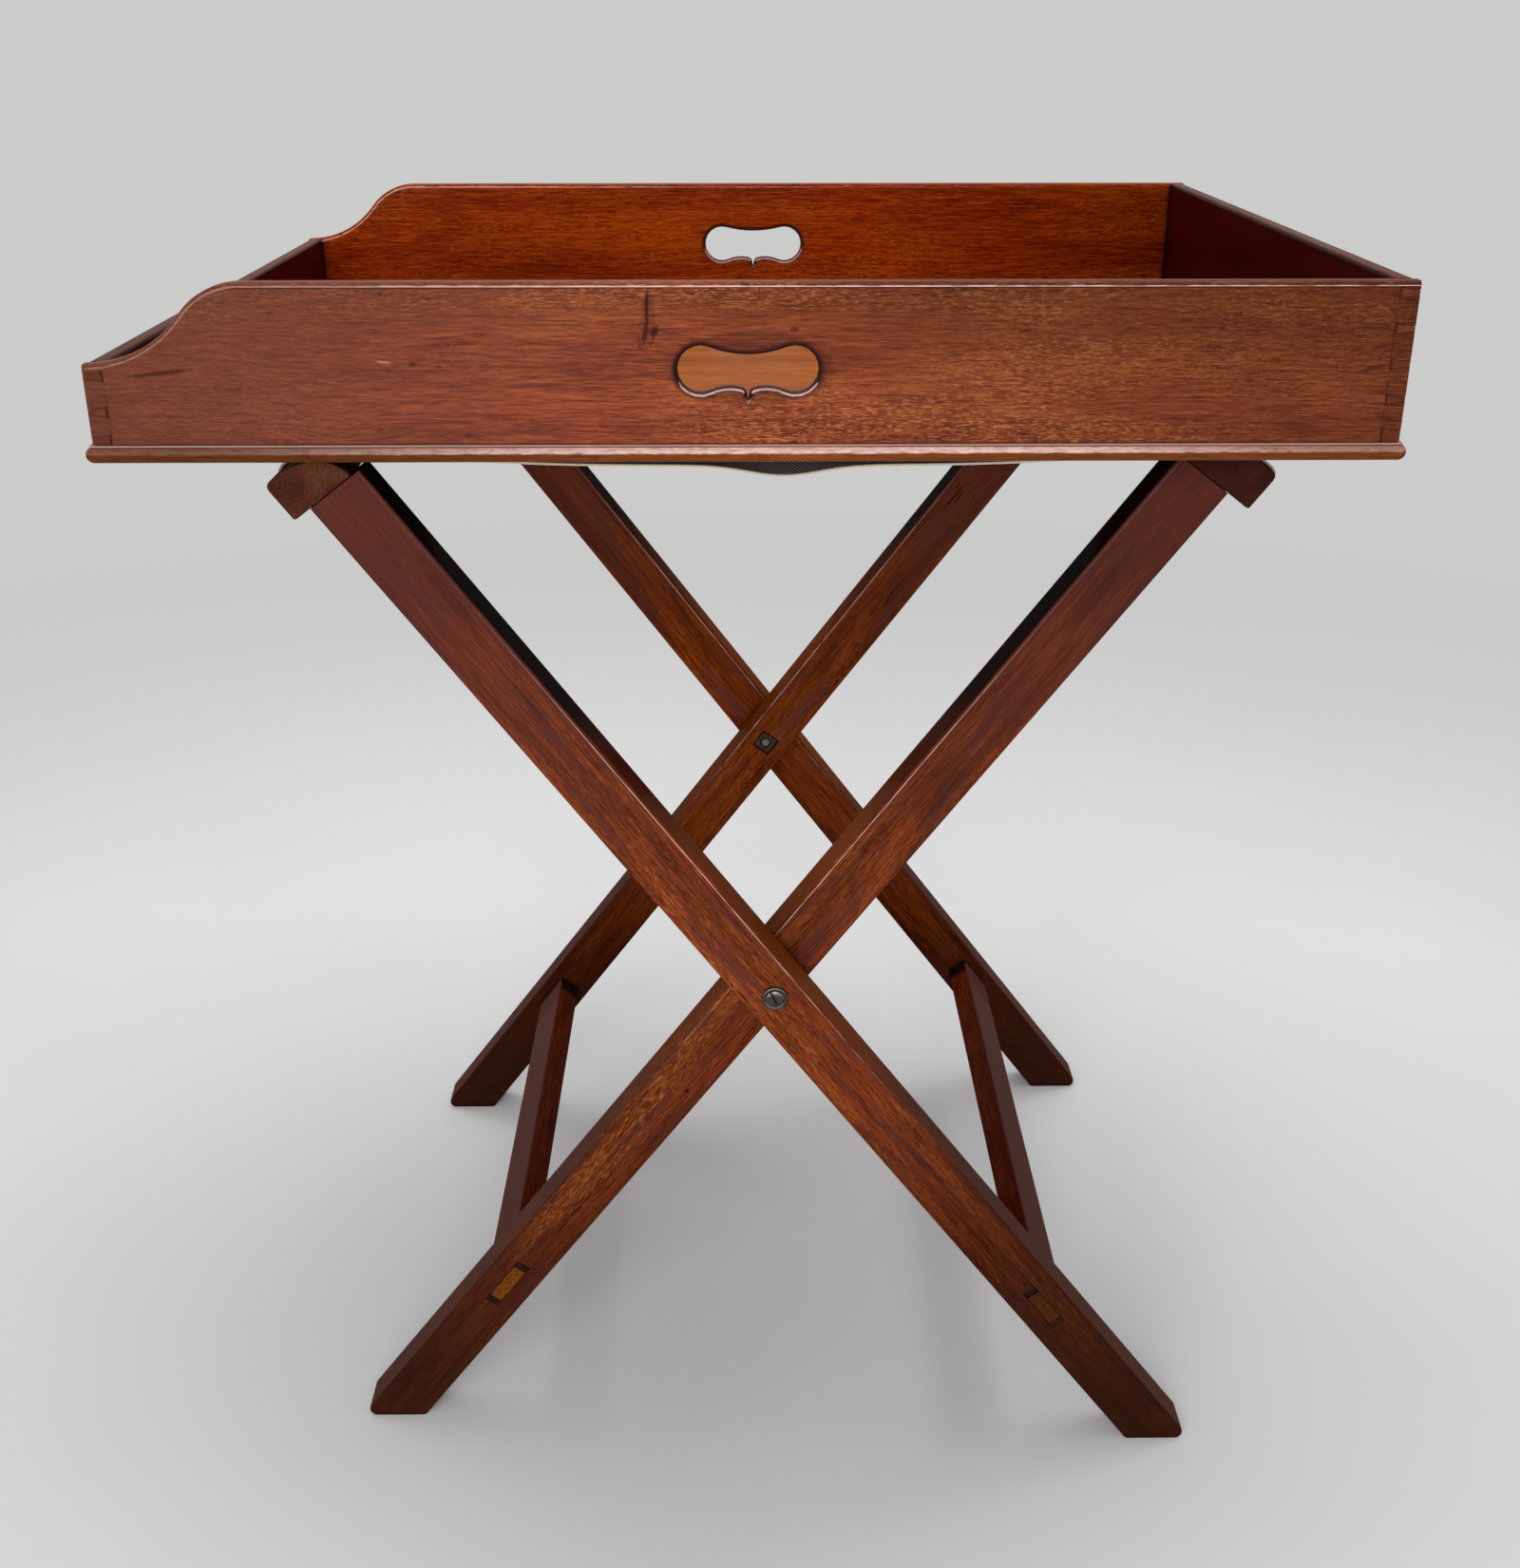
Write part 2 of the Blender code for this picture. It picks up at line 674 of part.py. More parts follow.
def make_washer(name, outward, face, carrier, look):
    """A cup washer: a rounded ring, dished inside for the bolt's head."""
    dish = BOLT_HEAD_RADIUS + SEAT_GAP
    crown = (WASHER_RADIUS - WASHER_EDGE, WASHER_RIM - WASHER_EDGE)
    profile = [(BOLT_RADIUS + SEAT_GAP, WASHER_SEAT), (dish, WASHER_SEAT), (dish + WASHER_LIP, WASHER_RIM)]
    profile += [(x, z) for x, z in arc(crown, WASHER_EDGE, 90, 0, 4)]
    profile += [(WASHER_RADIUS, 0.0), (BOLT_RADIUS + SEAT_GAP, 0.0)]
    washer = turned_object(name, profile, carrier, look, ring=True)
    washer.location = Vector((0.0, outward * (face + SEAT_GAP), 0.0))
    washer.rotation_euler = (math.pi / 2 * -outward, 0.0, 0.0)
    return washer


def make_bolt(name, outward, face, carrier, look):
    """A slotted round-headed bolt through both legs, its head in the washer and its end in the nut."""
    top = BOLT_HEAD_RIM + BOLT_HEAD_DOME
    ball = (BOLT_HEAD_RADIUS ** 2 + BOLT_HEAD_DOME ** 2) / (2 * BOLT_HEAD_DOME)
    spread = math.degrees(math.asin(BOLT_HEAD_RADIUS / ball))
    dome = arc((0.0, top - ball), ball, 90, 90 - spread, 6)
    lift = 2 * SEAT_GAP + WASHER_SEAT
    end = -(2 * LEG_THICK + LEG_GAP - NUT_SINK + lift)
    profile = [(0.0, top)] + dome[1:] + [
        (BOLT_HEAD_RADIUS, 0.0), (BOLT_RADIUS, 0.0), (BOLT_RADIUS, end + BOLT_POINT),
        (BOLT_RADIUS - BOLT_POINT, end), (0.0, end)]
    bolt = turned_object(name, profile, carrier, look)
    turn = (math.pi / 2 * -outward, 0.0, 0.0)
    place = Vector((0.0, outward * (face + lift), 0.0))
    bolt.location = place
    bolt.rotation_euler = turn
    half = BOLT_SLOT_WIDTH / 2
    reach = BOLT_HEAD_RADIUS + OVERRUN
    slot = box_mesh("slot", (-reach, -half, top - BOLT_SLOT_DEPTH), (reach, half, top + OVERRUN))
    slot.transform(Matrix.Rotation(BOLT_SLOT_TURN * outward, 4, "Z"))
    tool = add_object("slot " + name, slot, carrier)
    tool.location = place
    tool.rotation_euler = turn
    combine(bolt, tool)
    return bolt


def make_nut(name, outward, inner_face, carrier, look):
    """A square nut, sunk in its pocket just below the inner face of the inner leg."""
    half = NUT_SIZE / 2
    near = inner_face + outward * NUT_SINK
    far = near + outward * (NUT_THICK - SEAT_GAP)
    mesh = box_mesh(name, (-half, min(near, far), -half), (half, max(near, far), half))
    soften(mesh, NUT_CHAMFER, 1, lambda edge: same_face(edge, 0) and same_face(edge, 2))
    nut = add_object(name, mesh, carrier, look)
    tool = add_object("thread hole " + name, cylinder_mesh("hole", BOLT_RADIUS + SEAT_GAP, 2 * LEG_THICK), carrier)
    tool.location = Vector((0.0, inner_face, 0.0))
    combine(nut, tool)
    return nut


def make_frame(kind, side, outside, half_depth, tenon_width, pivot):
    """One of the two crossed frames: two legs, a top rail, a stretcher and its wedges."""
    inner = kind == "inner"
    for word, outward in (("front", -1), ("back", 1)):
        middle = outward * (half_depth - LEG_THICK / 2)
        leg_name = word + "_" + kind + "_leg"
        make_leg(leg_name, side, outward, middle, tenon_width, pivot, MAHOGANY_LIGHT, inner)
        for level, above in (("upper", 1), ("lower", -1)):
            name = "_".join((word, kind, level, "wedge"))
            sunk = WEDGE_SINK if (word, kind, level) == ("front", "outer", "upper") else 0.0
            make_wedge(name, outward, above, half_depth, tenon_width, sunk, pivot, WEDGE_WOOD)
    make_rail(kind + "_rail", side, outside, half_depth, pivot, MAHOGANY_DARK)
    make_stretcher(kind + "_stretcher", half_depth, tenon_width, pivot, MAHOGANY_LIGHT)


# Webbing

def strap_path(outside):
    """Half of a strap's inner face, seen from the front: up the rail, over its crown, to mid span."""
    grow = SEAT_GAP
    outside = -outside
    rail = [(outside - grow, RAIL_THICK - STRAP_TAIL)]
    rail += arc((outside + RAIL_CORNER, RAIL_THICK - RAIL_CORNER), RAIL_CORNER + grow, 180, 90, 4)
    slope = STRAP_SLOPE_SHARE
    up = RAIL_THICK * (LEAN.y - slope * LEAN.x)
    across = RAIL_ROUND_X * (LEAN.x + slope * LEAN.y)
    leave = math.atan2(up, across)
    steps = 7
    for i in range(steps + 1):
        angle = math.pi / 2 + (leave - math.pi / 2) * i / steps
        point = Vector((RAIL_ROUND_X * math.cos(angle) - RAIL_CROWN, RAIL_THICK * math.sin(angle)))
        normal = Vector((math.cos(angle) / RAIL_ROUND_X, math.sin(angle) / RAIL_THICK)).normalized()
        rail.append(tuple(point + normal * grow))
    path = []
    for a, s in rail:
        along = RAIL_REACH + s
        path.append((a * LEAN.y - along * LEAN.x, PIVOT_HEIGHT + along * LEAN.y + a * LEAN.x))
    reach, height = path[-1]
    sag = -reach * slope / STRAP_SAG_SHARE
    steps = 9
    for i in range(1, steps + 1):
        share = 1 - i / steps
        path.append((reach * share, height - sag * (1 - share ** STRAP_SAG_SHARE)))
    return path


def make_strap(name, middle, carrier, look):
    """A webbing strap over both rails, sagging a little between them."""
    right = strap_path(INNER_RAIL_OUTSIDE)
    path = strap_path(OUTER_RAIL_OUTSIDE) + [(-x, z) for x, z in reversed(right[:-1])]
    mesh = bpy.data.meshes.new(name)
    edge = STRAP_WIDTH / 2
    points = [(x, middle - edge, z) for x, z in path] + [(x, middle + edge, z) for x, z in path]
    count = len(path)
    faces = [(i, i + 1, count + i + 1, count + i) for i in range(count - 1)]
    mesh.from_pydata(points, [], faces)
    strap = add_object(name, mesh, carrier, look)
    wall = strap.modifiers.new("Webbing", "SOLIDIFY")
    wall.thickness = STRAP_THICK
    wall.offset = 1.0
    wall.use_even_offset = True
    return strap


# Assembly

clear_scene()
PARTS = new_collection("butler tray")
CUTTERS = new_collection("butler tray cutters")

outer_half = STAND_DEPTH / 2
inner_half = outer_half - LEG_THICK - LEG_GAP
pivot_place = (STAND_SHIFT_X, STAND_SHIFT_Y, PIVOT_HEIGHT)
outer_pivot = add_empty("outer_frame_pivot", pivot_place, -HALF_ANGLE)
inner_pivot = add_empty("inner_frame_pivot", pivot_place, HALF_ANGLE)
strap_place = add_empty("strap_place", (STAND_SHIFT_X, STAND_SHIFT_Y, 0.0))
tray_base = PIVOT_HEIGHT + rail_height_over_pivot() + STRAP_THICK + 2 * SEAT_GAP
tray_lift = add_empty("tray_lift", (0.0, 0.0, tray_base + BOTTOM_THICK))

front_hole = (0.0, FRONT_HOLE_HEIGHT, FRONT_HOLE_RADIUS, FRONT_HOLE_DIP, FRONT_HOLE_RISE)
back_hole = (BACK_HOLE_SHIFT, BACK_HOLE_HEIGHT, BACK_HOLE_RADIUS, BACK_HOLE_DIP, BACK_HOLE_RISE)
high_rows = pin_rows(WALL_HEIGHT, HIGH_HALF_PIN, HIGH_PIN_SHARES)
low_rows = pin_rows(LOW_HEIGHT, LOW_HALF_PIN, LOW_PIN_SHARES)
make_side("tray_front_side", -1, front_hole, high_rows, low_rows, tray_lift, MAHOGANY)
make_side("tray_back_side", 1, back_hole, high_rows, low_rows, tray_lift, MAHOGANY)
make_end("tray_high_end", 1, WALL_HEIGHT, high_rows, tray_lift, MAHOGANY)
make_end("tray_low_end", -1, LOW_HEIGHT, low_rows, tray_lift, MAHOGANY)
make_bottom("tray_bottom", tray_lift, MAHOGANY_LIGHT)

make_frame("outer", 1, OUTER_RAIL_OUTSIDE, outer_half, OUTER_TENON_WIDTH, outer_pivot)
make_frame("inner", -1, INNER_RAIL_OUTSIDE, inner_half, INNER_TENON_WIDTH, inner_pivot)
for word, outward in (("front", -1), ("back", 1)):
    make_washer(word + "_pivot_washer", outward, outer_half, inner_pivot, STEEL)
    make_bolt(word + "_pivot_bolt", outward, outer_half, inner_pivot, STEEL)
    inner_face = outward * (inner_half - LEG_THICK)
    make_nut(word + "_pivot_nut", outward, inner_face, inner_pivot, STEEL)

strap_reach = inner_half - STRAP_INSET - STRAP_WIDTH / 2
for i, word in zip(range(STRAP_COUNT), ("front", "middle", "back")):
    place = -strap_reach + 2 * strap_reach * i / (STRAP_COUNT - 1)
    make_strap(word + "_strap", place, strap_place, WEBBING)

for part in PARTS.objects:
    if part.type == "MESH":
        even = part.modifiers.new("Even shading", "WEIGHTED_NORMAL")
        even.keep_sharp = True
bpy.context.view_layer.update()
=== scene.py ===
# %% [markdown]
# # A butler's tray on its folding stand
#
# The tray is a dovetailed mahogany box with one low end and a hand hole in each long side. It rests
# loose on three webbing straps, which run over the two rails of a folding X stand. This lesson dresses
# the solid model of that tray: it rounds and smooths the boards, sweeps the webbing, drives the screws
# and tacks, and gives every piece its wood, metal or cloth.
#
# We start by loading the solid model as a fixed frame. It is already at its real size in metres, with
# +Z up, so nothing has to be measured again: each piece reads its size and place from the frame.

# %% The frame
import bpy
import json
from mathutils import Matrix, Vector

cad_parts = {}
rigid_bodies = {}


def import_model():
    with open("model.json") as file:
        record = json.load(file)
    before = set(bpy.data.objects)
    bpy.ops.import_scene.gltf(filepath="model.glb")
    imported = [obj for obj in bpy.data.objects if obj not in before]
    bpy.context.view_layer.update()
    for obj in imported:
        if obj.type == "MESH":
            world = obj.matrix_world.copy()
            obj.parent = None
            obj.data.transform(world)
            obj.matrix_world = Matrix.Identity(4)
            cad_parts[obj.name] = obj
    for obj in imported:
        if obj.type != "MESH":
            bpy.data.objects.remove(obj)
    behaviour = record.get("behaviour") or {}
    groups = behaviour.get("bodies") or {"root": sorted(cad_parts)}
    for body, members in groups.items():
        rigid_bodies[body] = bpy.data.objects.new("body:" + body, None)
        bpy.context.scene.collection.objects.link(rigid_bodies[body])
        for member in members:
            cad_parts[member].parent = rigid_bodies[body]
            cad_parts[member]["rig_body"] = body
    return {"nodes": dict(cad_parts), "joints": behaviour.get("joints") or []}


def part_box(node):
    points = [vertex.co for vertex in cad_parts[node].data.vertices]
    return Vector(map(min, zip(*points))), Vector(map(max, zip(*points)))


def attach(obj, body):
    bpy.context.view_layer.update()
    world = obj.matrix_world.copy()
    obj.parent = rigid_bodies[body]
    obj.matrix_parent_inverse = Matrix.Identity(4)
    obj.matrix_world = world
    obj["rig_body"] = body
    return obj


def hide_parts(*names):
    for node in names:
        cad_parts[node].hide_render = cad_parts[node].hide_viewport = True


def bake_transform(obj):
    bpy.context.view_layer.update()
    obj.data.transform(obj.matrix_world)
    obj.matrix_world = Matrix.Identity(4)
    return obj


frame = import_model()

# %% Blender's modules
import json
import math

import bmesh
import bpy
from mathutils import Vector

for starter in ("Cube", "Camera", "Light"):
    if starter in bpy.data.objects:
        bpy.data.objects.remove(bpy.data.objects[starter], do_unlink=True)
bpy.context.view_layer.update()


def add_object(name, data):
    """A new object in the scene, at the origin."""
    made = bpy.data.objects.new(name, data)
    bpy.context.scene.collection.objects.link(made)
    return made


# %% [markdown]
# ## The stand's lean
#
# The legs of a crossed frame lean, and their grain runs along them. If we know the pivot and the lean,
# we can turn a pattern so that it follows a leg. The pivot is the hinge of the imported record. The lean
# could be typed in, but it is safer to work it out from a stretcher's place, because then it follows
# the model if the model changes.

# %% Pivot and lean
HINGE = next(joint for joint in frame["joints"] if joint["type"] == "hinge")
PIVOT = Vector(HINGE["pos_m"])


def middle(node):
    """The middle of a node's box."""
    low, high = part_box(node)
    return (low + high) / 2


outer_foot = middle("outer_stretcher") - PIVOT
LEAN = math.atan2(outer_foot.x, -outer_foot.z)
print("pivot", tuple(PIVOT), "lean in degrees", round(math.degrees(LEAN), 2))

# %% [markdown]
# ## Helpers for node trees
#
# Materials and Geometry Nodes are both trees of nodes joined by links. Adding each node by hand takes
# four or five lines, so a lesson quickly drowns in them. A small class helps: a Pattern is what one node
# gives out, and a sum or product of patterns adds the nodes that work it out. The trees below then read
# like plain arithmetic, from top to bottom. A colour is three linear values.

# %% Patterns
def fill(node, sockets):
    """Gives a node's inputs their values, or links them to patterns."""
    for key, value in sockets.items():
        socket = node.inputs[key]
        if isinstance(value, Pattern):
            value = value.socket
        if isinstance(value, bpy.types.NodeSocket):
            node.id_data.links.new(value, socket)
        else:
            socket.default_value = (*value, 1.0) if socket.type == "RGBA" else value


def add_node(tree, kind, sockets=None, **settings):
    """A node with its properties set and its inputs filled."""
    made = tree.nodes.new(kind)
    for key, value in settings.items():
        setattr(made, key, value)
    fill(made, sockets or {})
    return made


def pattern(tree, kind, sockets=None, output=0, **settings):
    """What a new node gives out."""
    return Pattern(add_node(tree, kind, sockets, **settings).outputs[output])


class Pattern:
    """What a node gives out: a number, a place, a colour or a shape."""

    def __init__(self, socket):
        self.socket = socket
        self.tree = socket.id_data

    def sent(self, kind, sockets=None, output=0, **settings):
        """What a new node gives out when this goes in at its first input."""
        return pattern(self.tree, kind, {0: self, **(sockets or {})}, output, **settings)

    def done(self, operation, *others):
        """The result of a Math node, or of a Vector Math node for a place or a colour."""
        kind = "ShaderNodeMath" if self.socket.type == "VALUE" else "ShaderNodeVectorMath"
        return self.sent(kind, dict(enumerate(others, 1)), operation=operation)

    def measured(self, operation, *others):
        """A number worked out from a place, such as its length."""
        return self.sent("ShaderNodeVectorMath", dict(enumerate(others, 1)), "Value", operation=operation)

    def __add__(self, other):
        return self.done("ADD", other)

    def __sub__(self, other):
        return self.done("SUBTRACT", other)

    def __truediv__(self, other):
        return self.done("DIVIDE", other)

    def __abs__(self):
        return self.done("ABSOLUTE")

    def __mul__(self, other):
        if self.socket.type == "VALUE" or isinstance(other, tuple):
            return self.done("MULTIPLY", other)
        return self.sent("ShaderNodeVectorMath", {"Scale": other}, operation="SCALE")


# %% Steps, mixes and noise
def step(value, low, high, first=0.0, last=1.0):
    """A soft step: first below low, last above high."""
    sockets = {"From Min": low, "From Max": high, "To Min": first, "To Max": last}
    return value.sent("ShaderNodeMapRange", sockets, interpolation_type="SMOOTHSTEP")


def band(value, centre, half):
    """One on a narrow band of a value, nought elsewhere."""
    return step(abs(value - centre), half * 0.5, half, 1.0, 0.0)


def rise_and_fall(value, start, top, end, bottom, last=0.0):
    """One between top and end, nought before start, and last after bottom."""
    return step(value, start, top) * step(value, end, bottom, 1.0, last)


def mix(share, first, second):
    """Two colours mixed by a share."""
    return share.sent("ShaderNodeMix", {6: first, 7: second}, 2, data_type="RGBA")


def noise(place, along, across=None, detail=3.0, rough=0.5):
    """A grey noise with this many waves in a metre along X, and across it: unlike numbers make streaks."""
    squeezed = place * (along, across or along, across or along)
    return squeezed.sent("ShaderNodeTexNoise", {"Scale": 1.0, "Detail": detail, "Roughness": rough})


def axes(place):
    """The three coordinates of a place."""
    return [Pattern(part) for part in add_node(place.tree, "ShaderNodeSeparateXYZ", {0: place}).outputs]


def on_mesh(place, name):
    """An attribute that the mesh carries, by its name."""
    return pattern(place.tree, "ShaderNodeAttribute", output="Fac", attribute_name=name)


def open_air(place, reach):
    """One on open faces, and less in corners that are narrower than reach."""
    return pattern(place.tree, "ShaderNodeAmbientOcclusion", {"Distance": reach}, "AO", samples=4)


def bumps(height, strength, distance):
    """A normal that follows a height pattern."""
    sockets = {"Height": height, "Strength": strength, "Distance": distance}
    return pattern(height.tree, "ShaderNodeBump", sockets)


def new_material(name):
    """A material and its Principled shader."""
    made = bpy.data.materials.new(name)
    made.use_nodes = True
    return made, made.node_tree.nodes["Principled BSDF"]


def object_place(shader):
    """The place on the object, in metres."""
    return pattern(shader.id_data, "ShaderNodeTexCoord", output="Object")


# %% [markdown]
# ## Mahogany
#
# Mahogany is a red-brown wood. What the eye reads as its grain is layered: broad ribbons a hand wide,
# fine streaks a few centimetres long, short golden flecks where the vessels catch the light, and dark
# pores. An image of wood could be projected on the boards, but its repeats and seams would show, and
# it would be far too coarse close up. Here each layer is its own noise, squeezed across the grain and
# drawn out along it. They sit in one group, which every wooden piece shares with its own tones.

# %% The mahogany group
TONE_NAMES = ("Dark", "Red", "Light", "Fleck")
SWAY = 0.012
DENT_TONE = (0.035, 0.010, 0.007)


def make_mahogany_group():
    """The layers of the grain. The coordinates run along X, and each tone is an input."""
    tree = bpy.data.node_groups.new("mahogany grain", "ShaderNodeTree")
    for kind, way, labels in (("Vector", "INPUT", ("Place",)), ("Color", "INPUT", TONE_NAMES),
                              ("Float", "INPUT", ("Flecks", "Streaks", "Gloss")),
                              ("Color", "OUTPUT", ("Colour",)), ("Float", "OUTPUT", ("Roughness", "Height"))):
        for label in labels:
            tree.interface.new_socket(label, in_out=way, socket_type="NodeSocket" + kind)
    given = {socket.name: Pattern(socket) for socket in add_node(tree, "NodeGroupInput").outputs}
    place = given["Place"]

    sway = (place * (4.0, 9.0, 9.0)).sent("ShaderNodeTexNoise", {"Scale": 1.0, "Detail": 2.0}, 1)
    bent = place + (sway - (0.5, 0.5, 0.5)) * (0.0, SWAY, SWAY)
    ribbon = noise(bent, 1.8, 26.0)
    streak = noise(bent, 34.0, 900.0, detail=4.0, rough=0.62)
    hair = noise(bent, 130.0, 2200.0, detail=2.0)
    blotch = noise(place, 5.0, 11.0)
    fine = (streak - 0.5) + (hair - 0.5) * 0.75
    tone = fine * given["Streaks"] + 0.5 + (ribbon - 0.5) * 0.50

    wood = mix(step(tone, 0.30, 0.52), given["Dark"], given["Red"])
    wood = mix(step(tone, 0.48, 0.72), wood, given["Light"])
    zone = step(noise(place, 7.0, 30.0, detail=2.0), 0.36, 0.60)
    spark = step(noise(bent, 230.0, 1500.0, detail=2.0), 0.50, 0.64)
    wood = mix(spark * zone * given["Flecks"], wood, given["Fleck"])
    pore = step(noise(bent, 170.0, 2300.0, detail=1.0), 0.62, 0.72)
    wood = mix(pore * 0.45, wood, given["Dark"])
    wood = wood * step(blotch, 0.30, 0.65, 0.86, 1.07)

    cells = add_node(tree, "ShaderNodeTexVoronoi", {0: bent * (38.0, 62.0, 62.0), "Scale": 1.0}).outputs
    chance = Pattern(cells["Color"]).sent("ShaderNodeSeparateColor")
    knock = step(Pattern(cells["Distance"]), 0.05, 0.13, 1.0, 0.0) * step(chance, 0.62, 0.66)
    wood = mix(knock * 0.62, wood, DENT_TONE)

    rough = hair * 0.14 + (blotch * 0.20 + given["Gloss"])
    high = pore * -0.8 + (hair * 0.5 + streak) - knock * 1.6
    add_node(tree, "NodeGroupOutput", {"Colour": wood, "Roughness": rough, "Height": high})
    return tree


MAHOGANY = make_mahogany_group()
print("mahogany group:", len(MAHOGANY.nodes), "nodes")

# %% [markdown]
# ## A wooden finish
#
# Old shellac is glossy but uneven: polished where hands and cloths pass, dull in the corners. A
# Principled shader with a thin coat does this well. Each piece turns the grain to its own length with a
# Mapping node, and moves it a little, so that no two boards show the same figure. Along the rounded
# arrises that look up, the polish has gone thin and pale, and a painted highlight lies on them. An
# attribute on the mesh marks them. Painted shade darkens the corners, found by an Ambient Occlusion node.

# %% The wood material
ALONG_X = (0.0, 0.0, 0.0)
ALONG_Y = (0.0, 0.0, math.radians(-90.0))
GRAIN_TURNS = {"outer": (0.0, math.radians(90.0) + LEAN, 0.0), "inner": (0.0, math.radians(90.0) - LEAN, 0.0)}
# The arris tone is pale old polish with a painted highlight on it, and the rim tone is painted shade.
ARRIS_WEAR_AND_HIGHLIGHT = (0.840, 0.550, 0.490)
RIM_SHADE_TONE = (0.022, 0.008, 0.010)
CORNER_SHADE_REACH = 0.010


def wood_material(name, tones, turn=ALONG_X, shift=(0.0, 0.0, 0.0), drawn=1.0, flecks=0.5, streaks=1.0,
                  gloss=0.16, shine=0.0, worn_and_highlit=0.8, paint=None):
    """Polished mahogany. The shares of flecks and of pale arrises with their painted highlight may be
    functions of the place, and paint(place, wood) may change the colour that it is given."""
    made, shader = new_material(name)
    place = object_place(shader)
    moved = place.sent("ShaderNodeMapping", {"Location": shift, "Rotation": turn}) * (1.0 / drawn, 1.0, 1.0)
    sockets = {"Place": moved, "Streaks": streaks, "Gloss": gloss, **dict(zip(TONE_NAMES, tones))}
    sockets["Flecks"] = flecks(place) if callable(flecks) else flecks
    grain = add_node(place.tree, "ShaderNodeGroup", sockets, node_tree=MAHOGANY).outputs
    wood = Pattern(grain["Colour"])
    if paint:
        wood = paint(place, wood)
    nicks = noise(moved, 110.0, 520.0, detail=4.0)
    # Pale old polish and a painted highlight on the rounded arrises that look up.
    rubbed_and_highlit = step(nicks * 0.55 + on_mesh(place, "arris"), 0.62, 0.94) * step(nicks, 0.34, 0.56, 0.70, 1.0)
    wood = mix(rubbed_and_highlit * (worn_and_highlit(place) if callable(worn_and_highlit) else worn_and_highlit), wood, ARRIS_WEAR_AND_HIGHLIGHT)
    # Painted shade on the rims and inner faces of the hand holes.
    wood = mix(on_mesh(place, "rim") * 0.95, wood, RIM_SHADE_TONE)
    # Painted shade in the corners, found by Ambient Occlusion.
    wood = wood * step(open_air(place, CORNER_SHADE_REACH), 0.15, 0.80, 0.22, 1.0)
    normal = bumps(Pattern(grain["Height"]), 0.30, 0.0002)
    fill(shader, {"Base Color": wood, "Roughness": grain["Roughness"], "Normal": normal,
                  "Specular IOR Level": shine, "Coat Weight": 0.04, "Coat Roughness": 0.10})
    return made


WALL_TONES = ((0.084, 0.017, 0.010), (0.205, 0.044, 0.018), (0.345, 0.092, 0.026), (0.560, 0.210, 0.056))
INSIDE_TONES = ((0.085, 0.005, 0.000), (0.225, 0.022, 0.001), (0.400, 0.070, 0.002), (0.500, 0.120, 0.008))

# %% [markdown]
# ## Fine copies of the solids
#
# The solids come as loose triangles with flat shading. That is right for a machine, but a rounded
# arris would show its facets. We could model each board again, yet the solid already has the true
# outline, so we take a copy instead: weld its points, melt the triangles of each flat face back into
# one, shade it smooth where the faces meet gently and leave it crisp where they don't. A weighted normal
# keeps the flat faces flat in the light. The fine copy then stands for the solid.

# %% Pale and highlighted arrises
HOLE_REACH = 0.060
HOLE_FOOT = 0.7640
HOLE_HEAD = 0.8120
EDGE_ON = 0.04
FACE_ON = 0.996
# Shares of painted shade on a hand hole's rim.
HOLE_RIM_SHADE = 0.92


def in_hand_hole(place):
    """Whether a point belongs to the rim of a hand hole rather than to the outline of its board."""
    return abs(place.x) < HOLE_REACH and HOLE_FOOT < place.z < HOLE_HEAD


def share_between(value, low, high):
    """How far a number has come from low to high, from 0 to 1."""
    return min(1.0, max(0.0, (value - low) / (high - low)))


def board_wear_and_highlight(tilt, rise):
    """A board's top arris: pale from old polish and a painted highlight, palest where its rounding meets the
    face.
    """
    return 0.30 + 0.70 * share_between(tilt, 0.88, 0.985)


def nose_wear_and_highlight(tilt, rise):
    """The round nose: pale from old polish and a painted highlight on its upper half."""
    return share_between(rise, -0.10, 0.45)


def bar_wear_and_highlight(tilt, rise):
    """A leg's upper arris: a thin pale line of old polish and painted highlight along its ridge."""
    return 1.0 if rise > 0.20 and 0.70 < tilt < 0.94 else 0.0


def metal_wear_and_highlight(tilt, rise):
    """A metal rim, with a painted highlight where it looks up."""
    return 0.75 if 0.10 < tilt < 0.94 and rise > 0.2 else 0.0


def hole_highlight_and_shade(tilt, rise):
    """A hand hole's rounding: a painted highlight along the lower lip, and painted shade on the rim
    elsewhere.
    """
    if rise > 0.25:
        bright = 1.0 if 0.55 < tilt < 0.85 else 0.0
        return bright, 0.0 if bright else HOLE_RIM_SHADE if tilt < 0.6 else 0.45
    return 0.0, 0.15 if tilt > 0.95 else 0.70 if tilt > 0.80 else 1.0


def mark_arrises(shape, axis, wear_and_highlight):
    """Marks the corners of each face: "arris" where a rounding that looks up gets pale old polish and a
    painted highlight, "rim" where painted shade darkens a hand hole, and "flank" where a face runs along the
    axis."""
    pale, rim, flank = [shape.loops.layers.float.new(name) for name in ("arris", "rim", "flank")]
    shape.normal_update()
    for face in shape.faces:
        across = abs(face.normal.dot(axis))
        rounded = EDGE_ON < across < FACE_ON
        by_hand = in_hand_hole(face.calc_center_median())
        for corner in face.loops:
            normal = corner.vert.normal
            tilt = abs(normal.dot(axis))
            corner[flank] = 1.0 - across
            if by_hand and across < FACE_ON:
                corner[pale], corner[rim] = hole_highlight_and_shade(tilt, normal.z) if rounded else (0.0, HOLE_RIM_SHADE)
            elif rounded and face.normal.z > 0.02:
                corner[pale] = wear_and_highlight(tilt, normal.z)


# %% Fine copies
WELD = 0.00002
TOUCH = 0.0000005
FLAT = math.radians(0.15)
CRISP = math.radians(32.0)


